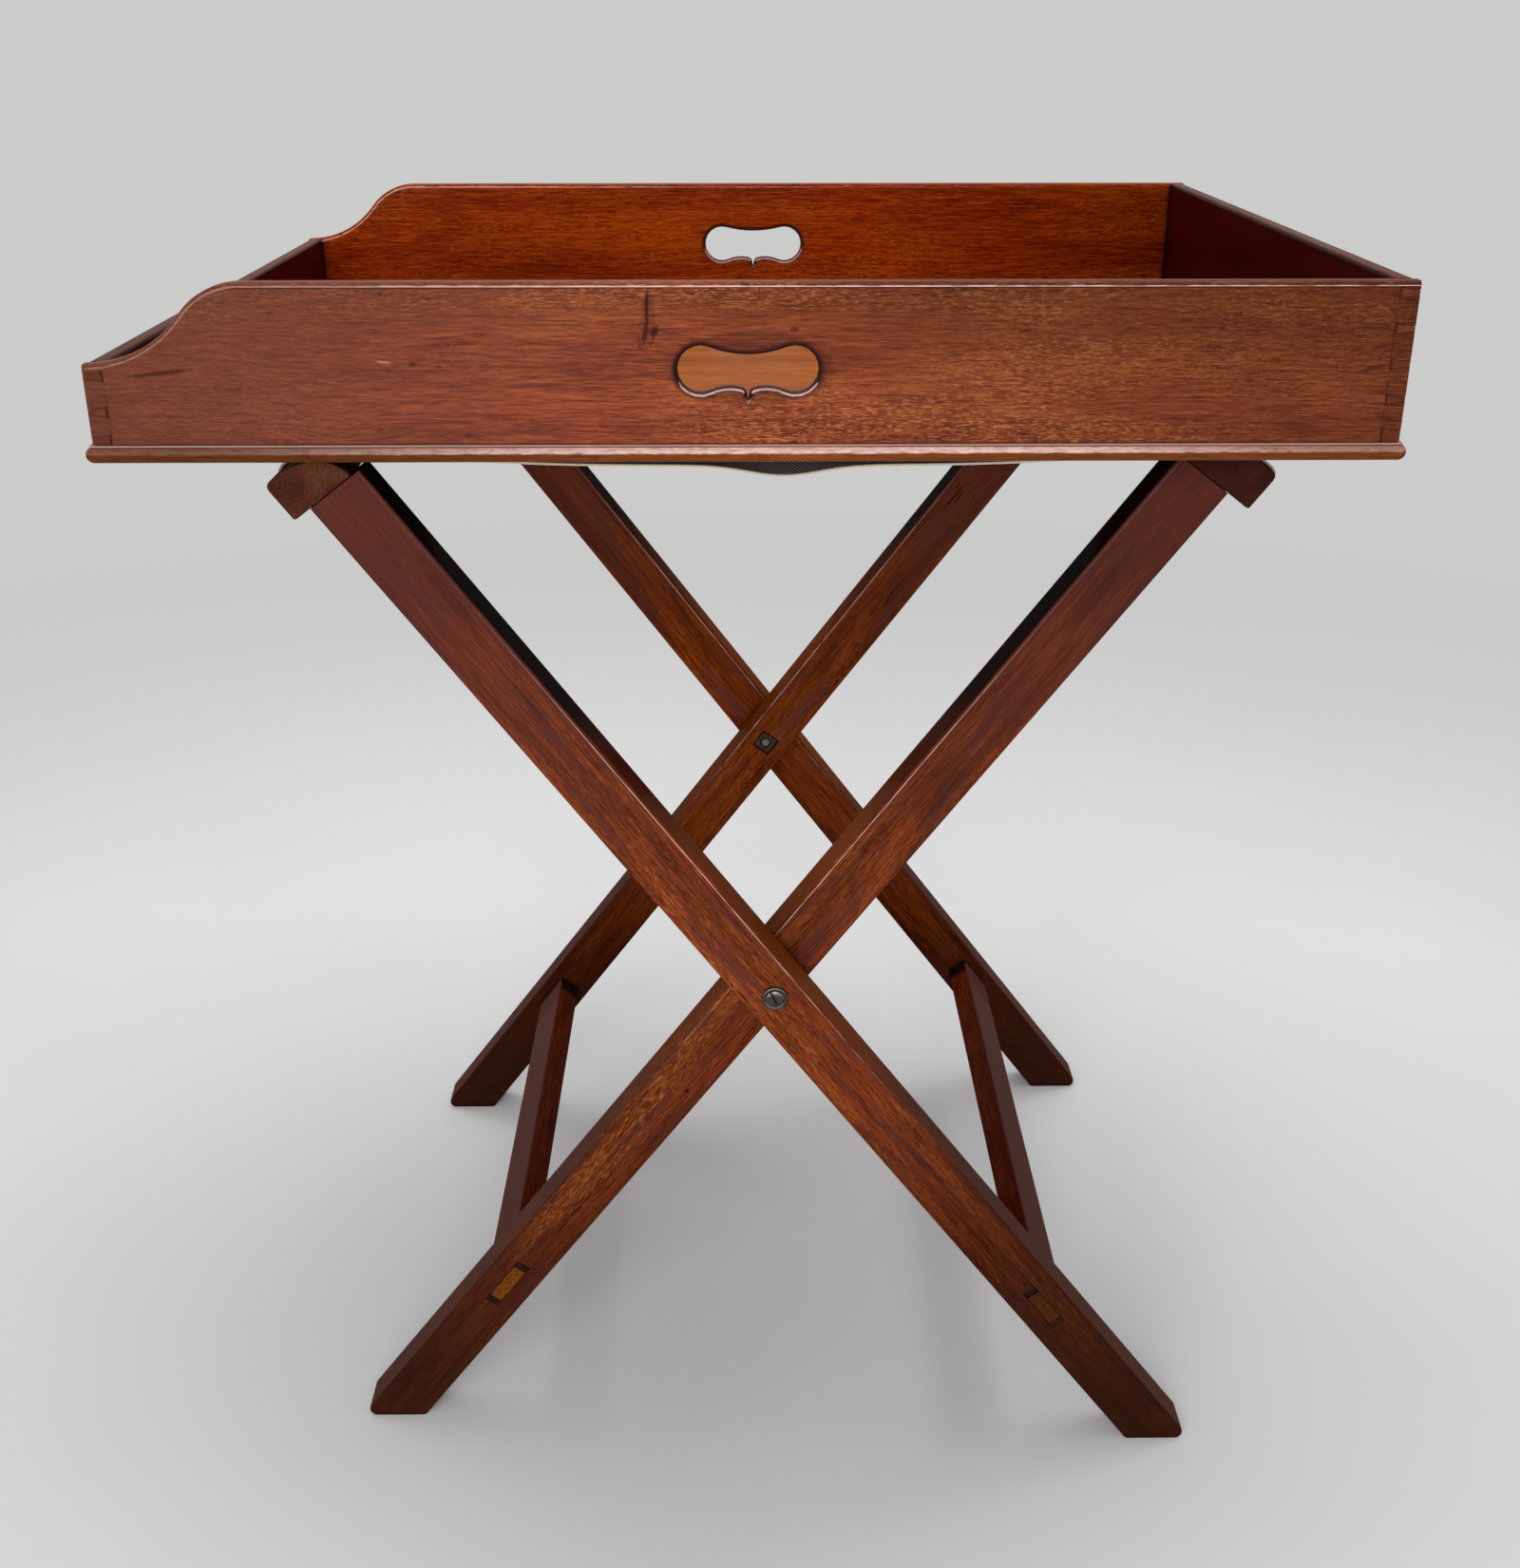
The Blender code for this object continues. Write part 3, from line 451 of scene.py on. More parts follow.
def fine_mesh(node):
    """A node's mesh, welded, with its flat faces whole again."""
    shape = bmesh.new()
    shape.from_mesh(frame["nodes"][node].data)
    bmesh.ops.remove_doubles(shape, verts=shape.verts, dist=WELD)
    bmesh.ops.dissolve_limit(shape, angle_limit=FLAT, verts=shape.verts, edges=shape.edges)
    return shape


def shave_corner(shape, corner, first, second, radius, cuts=4):
    """Rounds a corner that runs along Y, between two flat sides that face first and second, by cuts
    that touch a round of this radius."""
    centre = corner - (first + second) * (radius / (1.0 + first.dot(second)))
    for i in range(cuts):
        out = first.slerp(second, (i + 0.5) / cuts)
        whole = shape.verts[:] + shape.edges[:] + shape.faces[:]
        cut = bmesh.ops.bisect_plane(shape, geom=whole, dist=TOUCH, plane_co=centre + out * radius,
                                     plane_no=out, clear_outer=True)
        rim = [part for part in cut["geom_cut"] if isinstance(part, bmesh.types.BMEdge)]
        bmesh.ops.holes_fill(shape, edges=rim, sides=0)


def fine_piece(name, node, axis, material, softened=(), shaved=(), wear_and_highlight=board_wear_and_highlight):
    """A fine copy that stands for one node and rides on its body. Each softened pair is a radius and a
    test for the edges that get it, and each shaved corner is a place, the directions of its two sides,
    and a radius."""
    shape = fine_mesh(node)
    for radius, chosen in softened:
        edges = [edge for edge in shape.edges if len(edge.link_faces) == 2 and chosen(edge)]
        bmesh.ops.bevel(shape, geom=edges, offset=radius, offset_type="OFFSET", segments=3, profile=0.5,
                        affect="EDGES", clamp_overlap=True)
    for corner in shaved:
        shave_corner(shape, *corner)
    mark_arrises(shape, Vector(axis), wear_and_highlight)
    bmesh.ops.recalc_face_normals(shape, faces=shape.faces)
    mesh = bpy.data.meshes.new(name)
    shape.to_mesh(mesh)
    shape.free()
    mesh.shade_smooth()
    mesh.set_sharp_from_angle(angle=CRISP)
    mesh.materials.append(material)
    piece = add_object(name, mesh)
    piece.modifiers.new("Even faces", "WEIGHTED_NORMAL").keep_sharp = True
    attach(piece, frame["nodes"][node]["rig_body"])
    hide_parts(node)
    print(name, len(mesh.polygons), "faces")


# %% [markdown]
# ## The four walls
#
# Each wall is one board. The long sides sweep down to the low end in an ogee, and their ends are cut to
# tails that lock round the pins of the end boards. The pins show on the long sides as small wedges of
# end grain, which takes the polish darker. A gauge line, scored before the joint was sawn, still shows
# at the root of the tails. These marks belong to the wood, so they are painted by the material from the
# place on the board, and not modelled.

# %% Scars
WALL_LOW, WALL_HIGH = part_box("tray_front_side")
BACK_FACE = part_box("tray_back_side")[0].y
END_LOW, END_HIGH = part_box("tray_high_end")
LOW_END_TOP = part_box("tray_low_end")[1].z
FRONT_FACE = WALL_LOW.y
TAIL_ROOT = END_LOW.x
SCAR_DEPTH = 0.01
DARK_STAIN = (0.040, 0.010, 0.008)
PALE_DENT = (0.420, 0.170, 0.110)
FRONT_SCARS = (
    (-0.0552, 0.8160, 0.0046, 0.0190, 0.05, DARK_STAIN, 0.32),
    (-0.0556, 0.8225, 0.0013, 0.0135, 0.05, DARK_STAIN, 0.95),
    (-0.0568, 0.8080, 0.0017, 0.0090, 0.18, DARK_STAIN, 0.80),
    (-0.0516, 0.8092, 0.0026, 0.0040, 0.45, DARK_STAIN, 0.95),
    (-0.0532, 0.8035, 0.0010, 0.0040, 0.50, DARK_STAIN, 0.45),
    (-0.0602, 0.8030, 0.0014, 0.0060, -0.15, DARK_STAIN, 0.50),
    (0.0061, 0.8318, 0.0005, 0.0022, 0.0, DARK_STAIN, 0.80),
    (-0.2021, 0.7927, 0.0052, 0.0011, 0.08, PALE_DENT, 0.85),
    (-0.2021, 0.7937, 0.0048, 0.0006, 0.08, DARK_STAIN, 0.55),
    (-0.3272, 0.7867, 0.0230, 0.0016, -0.11, DARK_STAIN, 0.75),
    (-0.1864, 0.7915, 0.0022, 0.0020, 0.0, DARK_STAIN, 0.60),
    (-0.1720, 0.7903, 0.0024, 0.0014, 0.0, DARK_STAIN, 0.45),
    (-0.1660, 0.8020, 0.0016, 0.0016, 0.0, DARK_STAIN, 0.55),
    (-0.2011, 0.8292, 0.0020, 0.0016, 0.0, DARK_STAIN, 0.60),
    (-0.2560, 0.7690, 0.0032, 0.0008, 0.4, DARK_STAIN, 0.45),
    (-0.1400, 0.8170, 0.0800, 0.0006, 0.06, DARK_STAIN, 0.40),
    (0.3448, 0.8104, 0.0150, 0.0007, 0.02, DARK_STAIN, 0.75),
    (0.3500, 0.7884, 0.0120, 0.0016, -0.22, DARK_STAIN, 0.70),
    (0.3380, 0.7860, 0.0150, 0.0008, 0.10, DARK_STAIN, 0.45),
    (0.2290, 0.7930, 0.0040, 0.0012, 0.0, DARK_STAIN, 0.40),
)


def within(place, centre, size, turn=0.0):
    """How far a place is from the middle of an oval, where one is its rim."""
    sockets = {"Location": centre, "Rotation": (0.0, turn, 0.0), "Scale": size}
    return place.sent("ShaderNodeMapping", sockets, vector_type="TEXTURE").measured("LENGTH")


def scarred(place, wood, scars, face=0.0):
    """Wood with soft-edged oval marks on a face that looks along Y. Each one has its middle's X and Z,
    its half width and half height, a turn, a stain and the stain's share."""
    ragged = noise(place, 400.0, detail=2.0) * 0.7
    for x, z, half_width, half_height, turn, stain, depth in scars:
        reach = within(place, (x, face, z), (half_width, SCAR_DEPTH, half_height), turn)
        wood = mix(step(ragged + reach, 0.75, 1.45, 1.0, 0.0) * depth, wood, stain)
    return wood


# %% Marks on the boards
SHEEN_TONE = (0.165, 0.055, 0.040)
JOINT_DIRT = (0.006, 0.004, 0.003)
PIN_END = (0.092, 0.024, 0.015)
HOLE_CENTRE = (0.0018, FRONT_FACE, 0.7885)
HOLE_HALO = (0.0440, 1.0, 0.0200)
BEAD_DROP = 0.0031
ROUND_DEPTH = 0.0034
ROUND_START = 0.0022
NEAR_FACE = 0.0006
AT_FACE = 0.0002


def on_face(value, face):
    """One where a value has come to a face, nought inside the wood."""
    return step(value, face - NEAR_FACE, face - AT_FACE)


def rounded_top(height, top):
    """One on the rounding along the top of a board."""
    return step(height, top - ROUND_DEPTH, top - ROUND_START)


def gauge_lines(place, wood):
    """A scored line across the outer face at the root of the tails."""
    line = band(abs(axes(place)[0]), TAIL_ROOT - 0.0003, 0.0005)
    broken = step(noise(place, 30.0, 120.0), 0.40, 0.60, 0.10, 0.60)
    return mix(line * broken, wood, DARK_STAIN)


def front_marks(place, wood):
    """The tones with painted light and shade, a painted sheen on the left, the gauge lines and the scars of
    the front board.
    """
    along, _, height = axes(place)
    # Painted light and shade: darker towards the right end, brighter towards the bottom and left of the hand
    # hole, and darker right of it. Near each end the board is darker too.
    level = step(along, 0.04, WALL_HIGH.x, 1.00, 0.64) * step(along, WALL_LOW.x, -0.10, 0.80, 1.0)
    level *= step(height, WALL_LOW.z, WALL_HIGH.z, 1.20, 0.82)
    level *= step(abs(along), WALL_HIGH.x - 0.020, WALL_HIGH.x - 0.006, 1.0, 0.74)
    level *= rise_and_fall(along, -0.24, -0.12, -0.06, 0.06) * 0.24 + 1.0
    level *= rise_and_fall(along, 0.02, 0.10, 0.18, 0.32) * -0.12 + 1.0
    # A painted sheen over the left part of the board.
    wood = mix(step(along, -0.34, 0.02, 0.42, 0.0), wood * level, SHEEN_TONE)
    wood = gauge_lines(place, wood)
    wood = mix(step(within(place, HOLE_CENTRE, HOLE_HALO), 0.98, 1.12, 0.38, 0.0), wood, DARK_STAIN)
    bead = band(height, WALL_HIGH.z - BEAD_DROP, 0.0006) * step(along, -0.300, -0.285)
    wood = mix(bead * 0.75, wood, DARK_STAIN)
    return scarred(place, wood, FRONT_SCARS, FRONT_FACE)


def front_wear_and_highlight(place):
    """The pale top arris of the front board, old polish with a painted highlight, is palest towards the high
    end.
    """
    return step(axes(place)[0], -0.36, 0.00, 0.16, 0.86)


def front_flecks(place):
    """The front board's gold shows most to the right of the hand hole and along the top."""
    along, _, height = axes(place)
    right = step(along, -0.10, 0.08, 0.20, 0.50) * step(along, 0.14, 0.34, 1.0, 0.45)
    return right.done("MAXIMUM", step(height, 0.795, 0.826, 0.0, 0.50))


def back_marks(place, wood):
    """The back board darkens towards the high end, and dirt fills its joint with the end boards."""
    along, across, _ = axes(place)
    wood = wood * step(along, 0.05, WALL_HIGH.x, 1.0, 0.70)
    inside = step(across, BACK_FACE + 0.0006, BACK_FACE + 0.0012, 1.0, 0.0)
    wood = mix(band(abs(along), TAIL_ROOT, 0.0014) * inside, wood, JOINT_DIRT)
    wood = mix(on_face(abs(along), WALL_HIGH.x), wood, wood * (0.55, 0.70, 1.0))
    return gauge_lines(place, wood)


def end_marks(place, wood):
    """The inner faces of the ends are darkened to near black with painted shade, their rounded tops are
    darker, and the pins' end grain is dark.
    """
    along, across, height = axes(place)
    # Painted shade darkens the inner faces of the ends.
    inside = step(abs(along), END_LOW.x + 0.0004, END_LOW.x + 0.0020, 1.0, 0.0)
    wood = mix(inside, wood, wood * (0.15, 0.02, 0.02))
    low_top = rounded_top(height, LOW_END_TOP) * step(along, -0.01, 0.01, 1.0, 0.0)
    top = low_top.done("MAXIMUM", rounded_top(height, END_HIGH.z))
    wood = mix(top, wood, wood * (0.40, 0.42, 0.66))
    patchy = step(noise(place, 90.0), 0.35, 0.65, 0.62, 0.92)
    return mix(on_face(abs(across), -FRONT_FACE) * patchy, wood, PIN_END)


front_wood = wood_material("front board mahogany", WALL_TONES, shift=(0.31, 0.0, 0.12), flecks=front_flecks,
                           streaks=0.68, shine=0.02, worn_and_highlit=front_wear_and_highlight, paint=front_marks)
back_wood = wood_material("back board mahogany", INSIDE_TONES, shift=(1.40, 0.3, 0.51), flecks=0.45,
                          streaks=0.85, shine=0.02, worn_and_highlit=0.60, paint=back_marks)
high_wood, low_wood = [
    wood_material(name + " end mahogany", WALL_TONES, turn=ALONG_Y, shift=shift, flecks=0.3, streaks=0.8,
                  shine=0.01, worn_and_highlit=0.16, paint=end_marks)
    for name, shift in (("high", (0.9, 0.7, 0.2)), ("low", (2.3, 0.1, 0.9)))]

# %% The boards
CORNER_ROUND = 0.0006
SIDE_AXIS = (0.0, 1.0, 0.0)
END_AXIS = (1.0, 0.0, 0.0)
UP_AXIS = (0.0, 0.0, 1.0)


def is_box_corner(edge):
    """An upright edge at an outer corner of the tray."""
    first, second = [vertex.co for vertex in edge.verts]
    at_end = min(abs(first.x), abs(second.x)) > WALL_HIGH.x - WELD
    at_side = min(abs(first.y), abs(second.y)) > -FRONT_FACE - WELD
    return at_end and at_side


for name, node, axis, wood in (("front_board", "tray_front_side", SIDE_AXIS, front_wood),
                               ("back_board", "tray_back_side", SIDE_AXIS, back_wood),
                               ("high_end_board", "tray_high_end", END_AXIS, high_wood),
                               ("low_end_board", "tray_low_end", END_AXIS, low_wood)):
    fine_piece(name, node, axis, wood, softened=[(CORNER_ROUND, is_box_corner)])

# %% [markdown]
# ## The bottom board
#
# The bottom stands out past the walls as a quirked round nose, which is the moulding that one sees
# along the foot of the tray. Inside the walls its top has kept a brighter, more orange tone, because
# the high sides shade it. One board has two tones, so the material asks where it is: the field inside
# is a millimetre higher than the ledge, and that height decides.

# %% Bottom board
BASE_LOW, BASE_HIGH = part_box("tray_bottom")
LEDGE_TOP = BASE_HIGH.z - 0.0010
QUIRK = BASE_LOW.z + 0.0088
FLOOR_TONES = ((0.200, 0.046, 0.008), (0.340, 0.090, 0.014), (0.440, 0.132, 0.024), (0.520, 0.200, 0.055))


def field_tone(place, wood):
    """Outside the field, the bottom board takes the tone of the walls, darker to the left, with a painted
    highlight along the top of its ledge.
    """
    along, _, height = axes(place)
    outside = step(height, BASE_HIGH.z - 0.0006, BASE_HIGH.z - 0.0003, 1.0, 0.0)
    deeper = wood * (0.52, 0.46, 0.62) * step(along, -0.30, 0.05, 0.62, 1.0)
    # A thin painted highlight along the top of the ledge.
    deeper = mix(band(height, LEDGE_TOP - 0.0003, 0.0007) * 0.42, deeper, ARRIS_WEAR_AND_HIGHLIGHT)
    return mix(outside, wood, deeper)


def nose_polish_and_highlight(place):
    """The nose is pale below its quirk from old polish and a painted highlight, most of all along the middle
    of the tray.
    """
    along, _, height = axes(place)
    level = step(along, -0.32, -0.04, 0.10, 1.0) * step(along, 0.16, 0.35, 1.0, 0.32)
    below = step(height, QUIRK - 0.0005, QUIRK, 1.0, 0.0)
    return level * below * step(noise(place, 190.0, 3000.0, detail=2.0), 0.46, 0.64, 1.0, 0.55)


bottom_wood = wood_material("bottom mahogany", FLOOR_TONES, shift=(0.6, 0.4, 0.3), flecks=0.30, streaks=0.9,
                            shine=0.02, worn_and_highlit=nose_polish_and_highlight, paint=field_tone)
fine_piece("bottom_board", "tray_bottom", UP_AXIS, bottom_wood, wear_and_highlight=nose_wear_and_highlight)

# %% [markdown]
# ## Legs
#
# The four legs are plain square bars with rounded arrises, cut level at the floor. Their grain follows
# their length, with golden streaks where light has bleached them, and the last hand's breadth above the
# floor is dark with old dirt and polish. A mark that belongs to one leg is placed by how far it lies
# down the leg from the pivot, and across it, so we first need coordinates that lean with the leg.

# %% Places on a leg
def leg_ways(kind):
    """The direction down a leg and the one across it, towards its upper side."""
    side = 1.0 if kind == "outer" else -1.0
    down = Vector((side * math.sin(LEAN), 0.0, -math.cos(LEAN)))
    across = Vector((side * math.cos(LEAN), 0.0, math.sin(LEAN)))
    return down, across


def extent(node, way):
    """How far a node's solid reaches from the pivot in one direction."""
    return max((point.co - PIVOT).dot(way) for point in frame["nodes"][node].data.vertices)


def leg_place(place, kind):
    """Coordinates of a leg: x down along it from the pivot, z across it, and y nought."""
    from_pivot = place - tuple(PIVOT)
    down, across = [from_pivot.measured("DOT_PRODUCT", tuple(way)) for way in leg_ways(kind)]
    return down.sent("ShaderNodeCombineXYZ", {2: across})


# %% The legs' wood
LEG_TONES = {
    "front": ((0.040, 0.007, 0.004), (0.118, 0.021, 0.007), (0.200, 0.045, 0.010), (0.390, 0.140, 0.022)),
    "back": ((0.030, 0.004, 0.001), (0.090, 0.014, 0.002), (0.160, 0.034, 0.003), (0.300, 0.090, 0.012))}
LEG_PURPLE = (0.058, 0.017, 0.014)
LEG_SOOT = (0.022, 0.007, 0.004)
# Painted light on the legs' upper sides by the pivot, and dust with a painted sheen on them lower down.
FLANK_LIGHT_TONE = (0.300, 0.072, 0.012)
FLANK_DUST_AND_SHEEN = (0.112, 0.046, 0.037)
FLANK_LIGHT_SHARE = {"outer": 0.62, "inner": 0.30}
GOLD_AREAS = {("front", "outer"): (0.02, 0.14, 0.000), ("front", "inner"): (0.02, 0.30, -0.006),
              ("back", "inner"): (0.16, 0.24, -0.004), ("back", "outer"): (-0.05, 0.20, 0.006)}
LEG_LEVELS = {("front", "outer"): (1.42, 0.62), ("front", "inner"): (1.22, 0.92),
              ("back", "inner"): (1.45, 0.62), ("back", "outer"): (1.42, 0.92)}
LEG_SCARS = {
    ("front", "outer"): (
        (-0.262, 0.005, 0.034, 0.0010, 0.0, DARK_STAIN, 0.60),
        (-0.335, 0.010, 0.030, 0.0045, 0.0, DARK_STAIN, 0.45),
        (0.160, -0.003, 0.110, 0.0007, 0.0, DARK_STAIN, 0.45),
        (0.354, 0.002, 0.0030, 0.0018, 0.0, DARK_STAIN, 0.70),
        (0.371, -0.010, 0.0022, 0.0016, 0.0, DARK_STAIN, 0.60),
        (0.118, 0.012, 0.050, 0.0006, 0.0, DARK_STAIN, 0.35)),
    ("front", "inner"): (
        (-0.165, -0.006, 0.026, 0.0060, 0.0, DARK_STAIN, 0.45),
        (0.109, -0.007, 0.0024, 0.0018, 0.0, LEG_SOOT, 0.95),
        (0.264, 0.0075, 0.0060, 0.0014, 0.0, DARK_STAIN, 0.65),
        (0.410, -0.010, 0.036, 0.0014, 0.0, LEG_SOOT, 0.60),
        (0.385, 0.006, 0.020, 0.0022, 0.0, DARK_STAIN, 0.50),
        (-0.330, 0.004, 0.040, 0.0070, 0.0, DARK_STAIN, 0.45)),
    ("back", "inner"): (
        (-0.270, 0.0075, 0.0170, 0.0011, 0.0, LEG_SOOT, 0.90),
        (-0.272, 0.0042, 0.0075, 0.0009, 0.0, LEG_SOOT, 0.85),
        (-0.280, 0.0110, 0.0040, 0.0008, 0.0, LEG_SOOT, 0.80),
        (-0.178, -0.003, 0.0190, 0.0010, 0.0, LEG_SOOT, 0.90),
        (-0.150, -0.001, 0.0050, 0.0009, 0.0, LEG_SOOT, 0.75),
        (0.028, -0.004, 0.0016, 0.0012, 0.0, LEG_SOOT, 0.80),
        (0.240, 0.010, 0.0014, 0.0012, 0.0, LEG_SOOT, 0.70)),
    ("back", "outer"): (
        (-0.230, 0.014, 0.060, 0.0007, 0.0, LEG_SOOT, 0.60),
        (0.180, -0.004, 0.030, 0.0008, 0.0, LEG_SOOT, 0.50)),
}


def leg_material(side, kind):
    """The wood of one leg: purple at the top, golden by the pivot, black at the foot."""
    start, end, low = GOLD_AREAS[side, kind]
    bright, dim = LEG_LEVELS[side, kind]

    def flecks(place):
        """The gold is thickest in one stretch of the leg."""
        down, _, across = axes(leg_place(place, kind))
        stretch = rise_and_fall(down, start - 0.04, start + 0.03, end - 0.03, end + 0.05)
        area = stretch * step(across, low - 0.006, low + 0.006, 0.35, 1.0)
        return area * 0.36 + step(down, -0.36, -0.12, 0.02, 0.24)

    def worn_and_highlit(place):
        """The pale line of old polish and painted highlight on the upper arris is brightest above the pivot.
        """
        down = axes(leg_place(place, kind))[0]
        return step(down, -0.32, -0.16, 0.06, 0.60) * step(down, 0.00, 0.12, 1.0, 0.28)

    def paint(place, wood):
        """The tones along the leg, its scars, and its upper side: painted shadow of the tray near the top,
        painted light near the pivot, and dust with a painted sheen lower down.
        """
        local = leg_place(place, kind)
        down, _, across = axes(local)
        cloudy = noise(local, 9.0, 75.0, detail=2.0)
        ragged = (cloudy - 0.5) * 0.14 + down
        wood = wood * step(cloudy, 0.30, 0.66, 0.66, 1.20)
        wood = mix(step(ragged, -0.42, -0.06, 0.78, 0.0), wood, LEG_PURPLE)
        wood = mix(step(noise(local, 11.0, 150.0), 0.50, 0.64, 0.0, 0.62), wood, LEG_PURPLE)
        wood = wood * step(ragged, 0.04, 0.26, bright, dim)
        wood = mix(step(ragged, 0.22, 0.44, 0.0, 0.80), wood, LEG_SOOT)
        wood = scarred(local, wood, LEG_SCARS[side, kind])
        upper = step(on_mesh(place, "flank"), 0.3, 0.9) * step(across, 0.004, 0.014)
        # Painted light on the upper side near the pivot.
        lit_flank = upper * rise_and_fall(ragged, -0.20, -0.06, 0.00, 0.14, last=0.25)
        wood = mix(lit_flank * FLANK_LIGHT_SHARE[kind], wood, FLANK_LIGHT_TONE)
        # Dust and a painted sheen on the upper side below the pivot.
        wood = mix(upper * step(ragged, 0.05, 0.20, 0.0, 0.62), wood, FLANK_DUST_AND_SHEEN)
        # Painted shadow of the tray on the upper side near the top.
        return wood * (upper * step(ragged, -0.30, -0.10, -0.93, 0.0) + 1.0)

    seed = {"outer": 0.37, "inner": 0.74}[kind] + {"front": 0.0, "back": 0.81}[side]
    return wood_material(side + " " + kind + " leg mahogany", LEG_TONES[side], turn=GRAIN_TURNS[kind],
                         shift=(seed, seed * 2, seed * 3), drawn=1.5, flecks=flecks, streaks=0.85, gloss=0.20,
                         worn_and_highlit=worn_and_highlit, paint=paint)


leg_woods = {(side, kind): leg_material(side, kind)
             for kind in ("outer", "inner") for side in ("front", "back")}
print(len(leg_woods), "leg materials")

# %% [markdown]
# ## Rails and stretchers
#
# The rails on top are rounded over so that the webbing does not chafe, and they show their end grain to
# the front, scratched by the plane. The stretchers pass through the legs, and their tenons end in the
# legs' outer faces, where the end grain is a duller, flatter brown than the wood round it.

# %% The rails' and stretchers' wood
RAIL_TONES = ((0.026, 0.007, 0.004), (0.056, 0.015, 0.009), (0.092, 0.028, 0.014), (0.160, 0.060, 0.024))
STRETCHER_TONES = ((0.033, 0.003, 0.001), (0.082, 0.010, 0.003), (0.140, 0.026, 0.005), (0.280, 0.080, 0.012))
TENON_TONES = {"outer": (0.064, 0.019, 0.005), "inner": (0.145, 0.041, 0.006)}
SCRATCH_TONE = (0.165, 0.056, 0.026)
BACK_END_DARK = (0.007, 0.004, 0.004)


def end_grain(place, wood):
    """Plane scratches across the end of a rail. The left rail is a little lighter and the right rail is
    darker.
    """
    sway = (noise(place, 60.0) * SWAY).sent("ShaderNodeCombineXYZ")
    scratch = noise((place + sway) * (1.0, 1.0, 5.0), 2400.0, 60.0, detail=2.0)
    marks = step(scratch, 0.40, 0.74, 0.10, 0.62) * step(noise(place, 45.0), 0.38, 0.62)
    wood = mix(marks, wood, SCRATCH_TONE)
    return mix(step(axes(place)[0], -0.1, 0.1), wood * 1.12, wood * (0.56, 0.46, 0.62))


def stretcher_material(kind):
    """A stretcher's upper side is dusty with a painted sheen, its back end is near black below that side, and
    the ends of its tenons are dull end grain."""
    top = extent(kind + "_stretcher", leg_ways(kind)[1])
    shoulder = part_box("back_" + kind + "_leg")[0].y

    def paint(place, wood):
        upper = step(axes(leg_place(place, kind))[2], top - 0.0012, top - 0.0005)
        # The back end is darker below the upper side.
        dark_back_end = step(axes(place)[1], shoulder - 0.022, shoulder - 0.014, 0.0, 0.88)
        wood = mix(dark_back_end * (upper * -1.0 + 1.0), wood, BACK_END_DARK)
        # Dust and a painted sheen on the upper side.
        wood = mix(upper * 0.80, wood, FLANK_DUST_AND_SHEEN)
        speckled = step(noise(place, 650.0), 0.34, 0.66, 0.68, 1.30)
        dull = pattern(place.tree, "ShaderNodeVectorMath", {0: TENON_TONES[kind], "Scale": speckled},
                       operation="SCALE")
        return mix(step(on_mesh(place, "flank"), 0.05, 0.30, 1.0, 0.0), wood, dull)

    return wood_material(kind + " stretcher mahogany", STRETCHER_TONES, turn=ALONG_Y, shift=(0.7, 0.2, 0.4),
                         drawn=1.5, flecks=0.15, streaks=0.8, gloss=0.22, worn_and_highlit=0.35, paint=paint)


rail_wood = wood_material("rail mahogany", RAIL_TONES, turn=ALONG_Y, shift=(0.2, 0.5, 0.7), flecks=0.1,
                          streaks=0.6, gloss=0.30, worn_and_highlit=0.0, paint=end_grain)
stretcher_woods = {kind: stretcher_material(kind) for kind in ("outer", "inner")}

# %% The stand's pieces
EDGE_ROUND = 0.0008
TOE_ROUND = 0.0055
HEEL_ROUND = 0.0035
RAIL_ROUND = 0.0026
LONG_EDGE = 0.022
ON_FLOOR = 0.0002
DOWN = Vector((0.0, 0.0, -1.0))


def is_square_edge(edge):
    """A long sharp edge between two outer faces."""
    return edge.calc_length() > LONG_EDGE and edge.is_convex and edge.calc_face_angle() > math.radians(40.0)


def foot_corners(node, kind):
    """The corners of a leg's foot: its heel, and the upper and lower corner of its clipped toe."""
    down, across = leg_ways(kind)
    out = Vector((math.copysign(1.0, down.x), 0.0, 0.0))
    points = [point.co for point in frame["nodes"][node].data.vertices]
    reaches = [point.dot(out) for point in points if point.z < ON_FLOOR]
    toe, heel = [Vector((reach * out.x, 0.0, 0.0)) for reach in (max(reaches), min(reaches))]
    upper = PIVOT.z + (extent(node, across) - (toe.x - PIVOT.x) * across.x) / across.z
    return [(toe + Vector((0.0, 0.0, upper)), across, out, TOE_ROUND), (toe, out, DOWN, TOE_ROUND),
            (heel, DOWN, -across, HEEL_ROUND)]


def rail_corner(node, kind):
    """The lower outer corner of a rail, between its underside and its outer side."""
    down, across = leg_ways(kind)
    corner = PIVOT + down * extent(node, down) - across * extent(node, -across)
    return [(corner, down, -across, RAIL_ROUND)]


for (side, kind), wood in leg_woods.items():
    leg = side + "_" + kind + "_leg"
    fine_piece(side + "_" + kind + "_bar", leg, SIDE_AXIS, wood, shaved=foot_corners(leg, kind),
               wear_and_highlight=bar_wear_and_highlight)
for kind, wood in stretcher_woods.items():
    fine_piece(kind + "_top_rail", kind + "_rail", SIDE_AXIS, rail_wood,
               shaved=rail_corner(kind + "_rail", kind), wear_and_highlight=bar_wear_and_highlight)
    fine_piece(kind + "_cross_bar", kind + "_stretcher", SIDE_AXIS, wood,
               softened=[(EDGE_ROUND, is_square_edge)], wear_and_highlight=bar_wear_and_highlight)

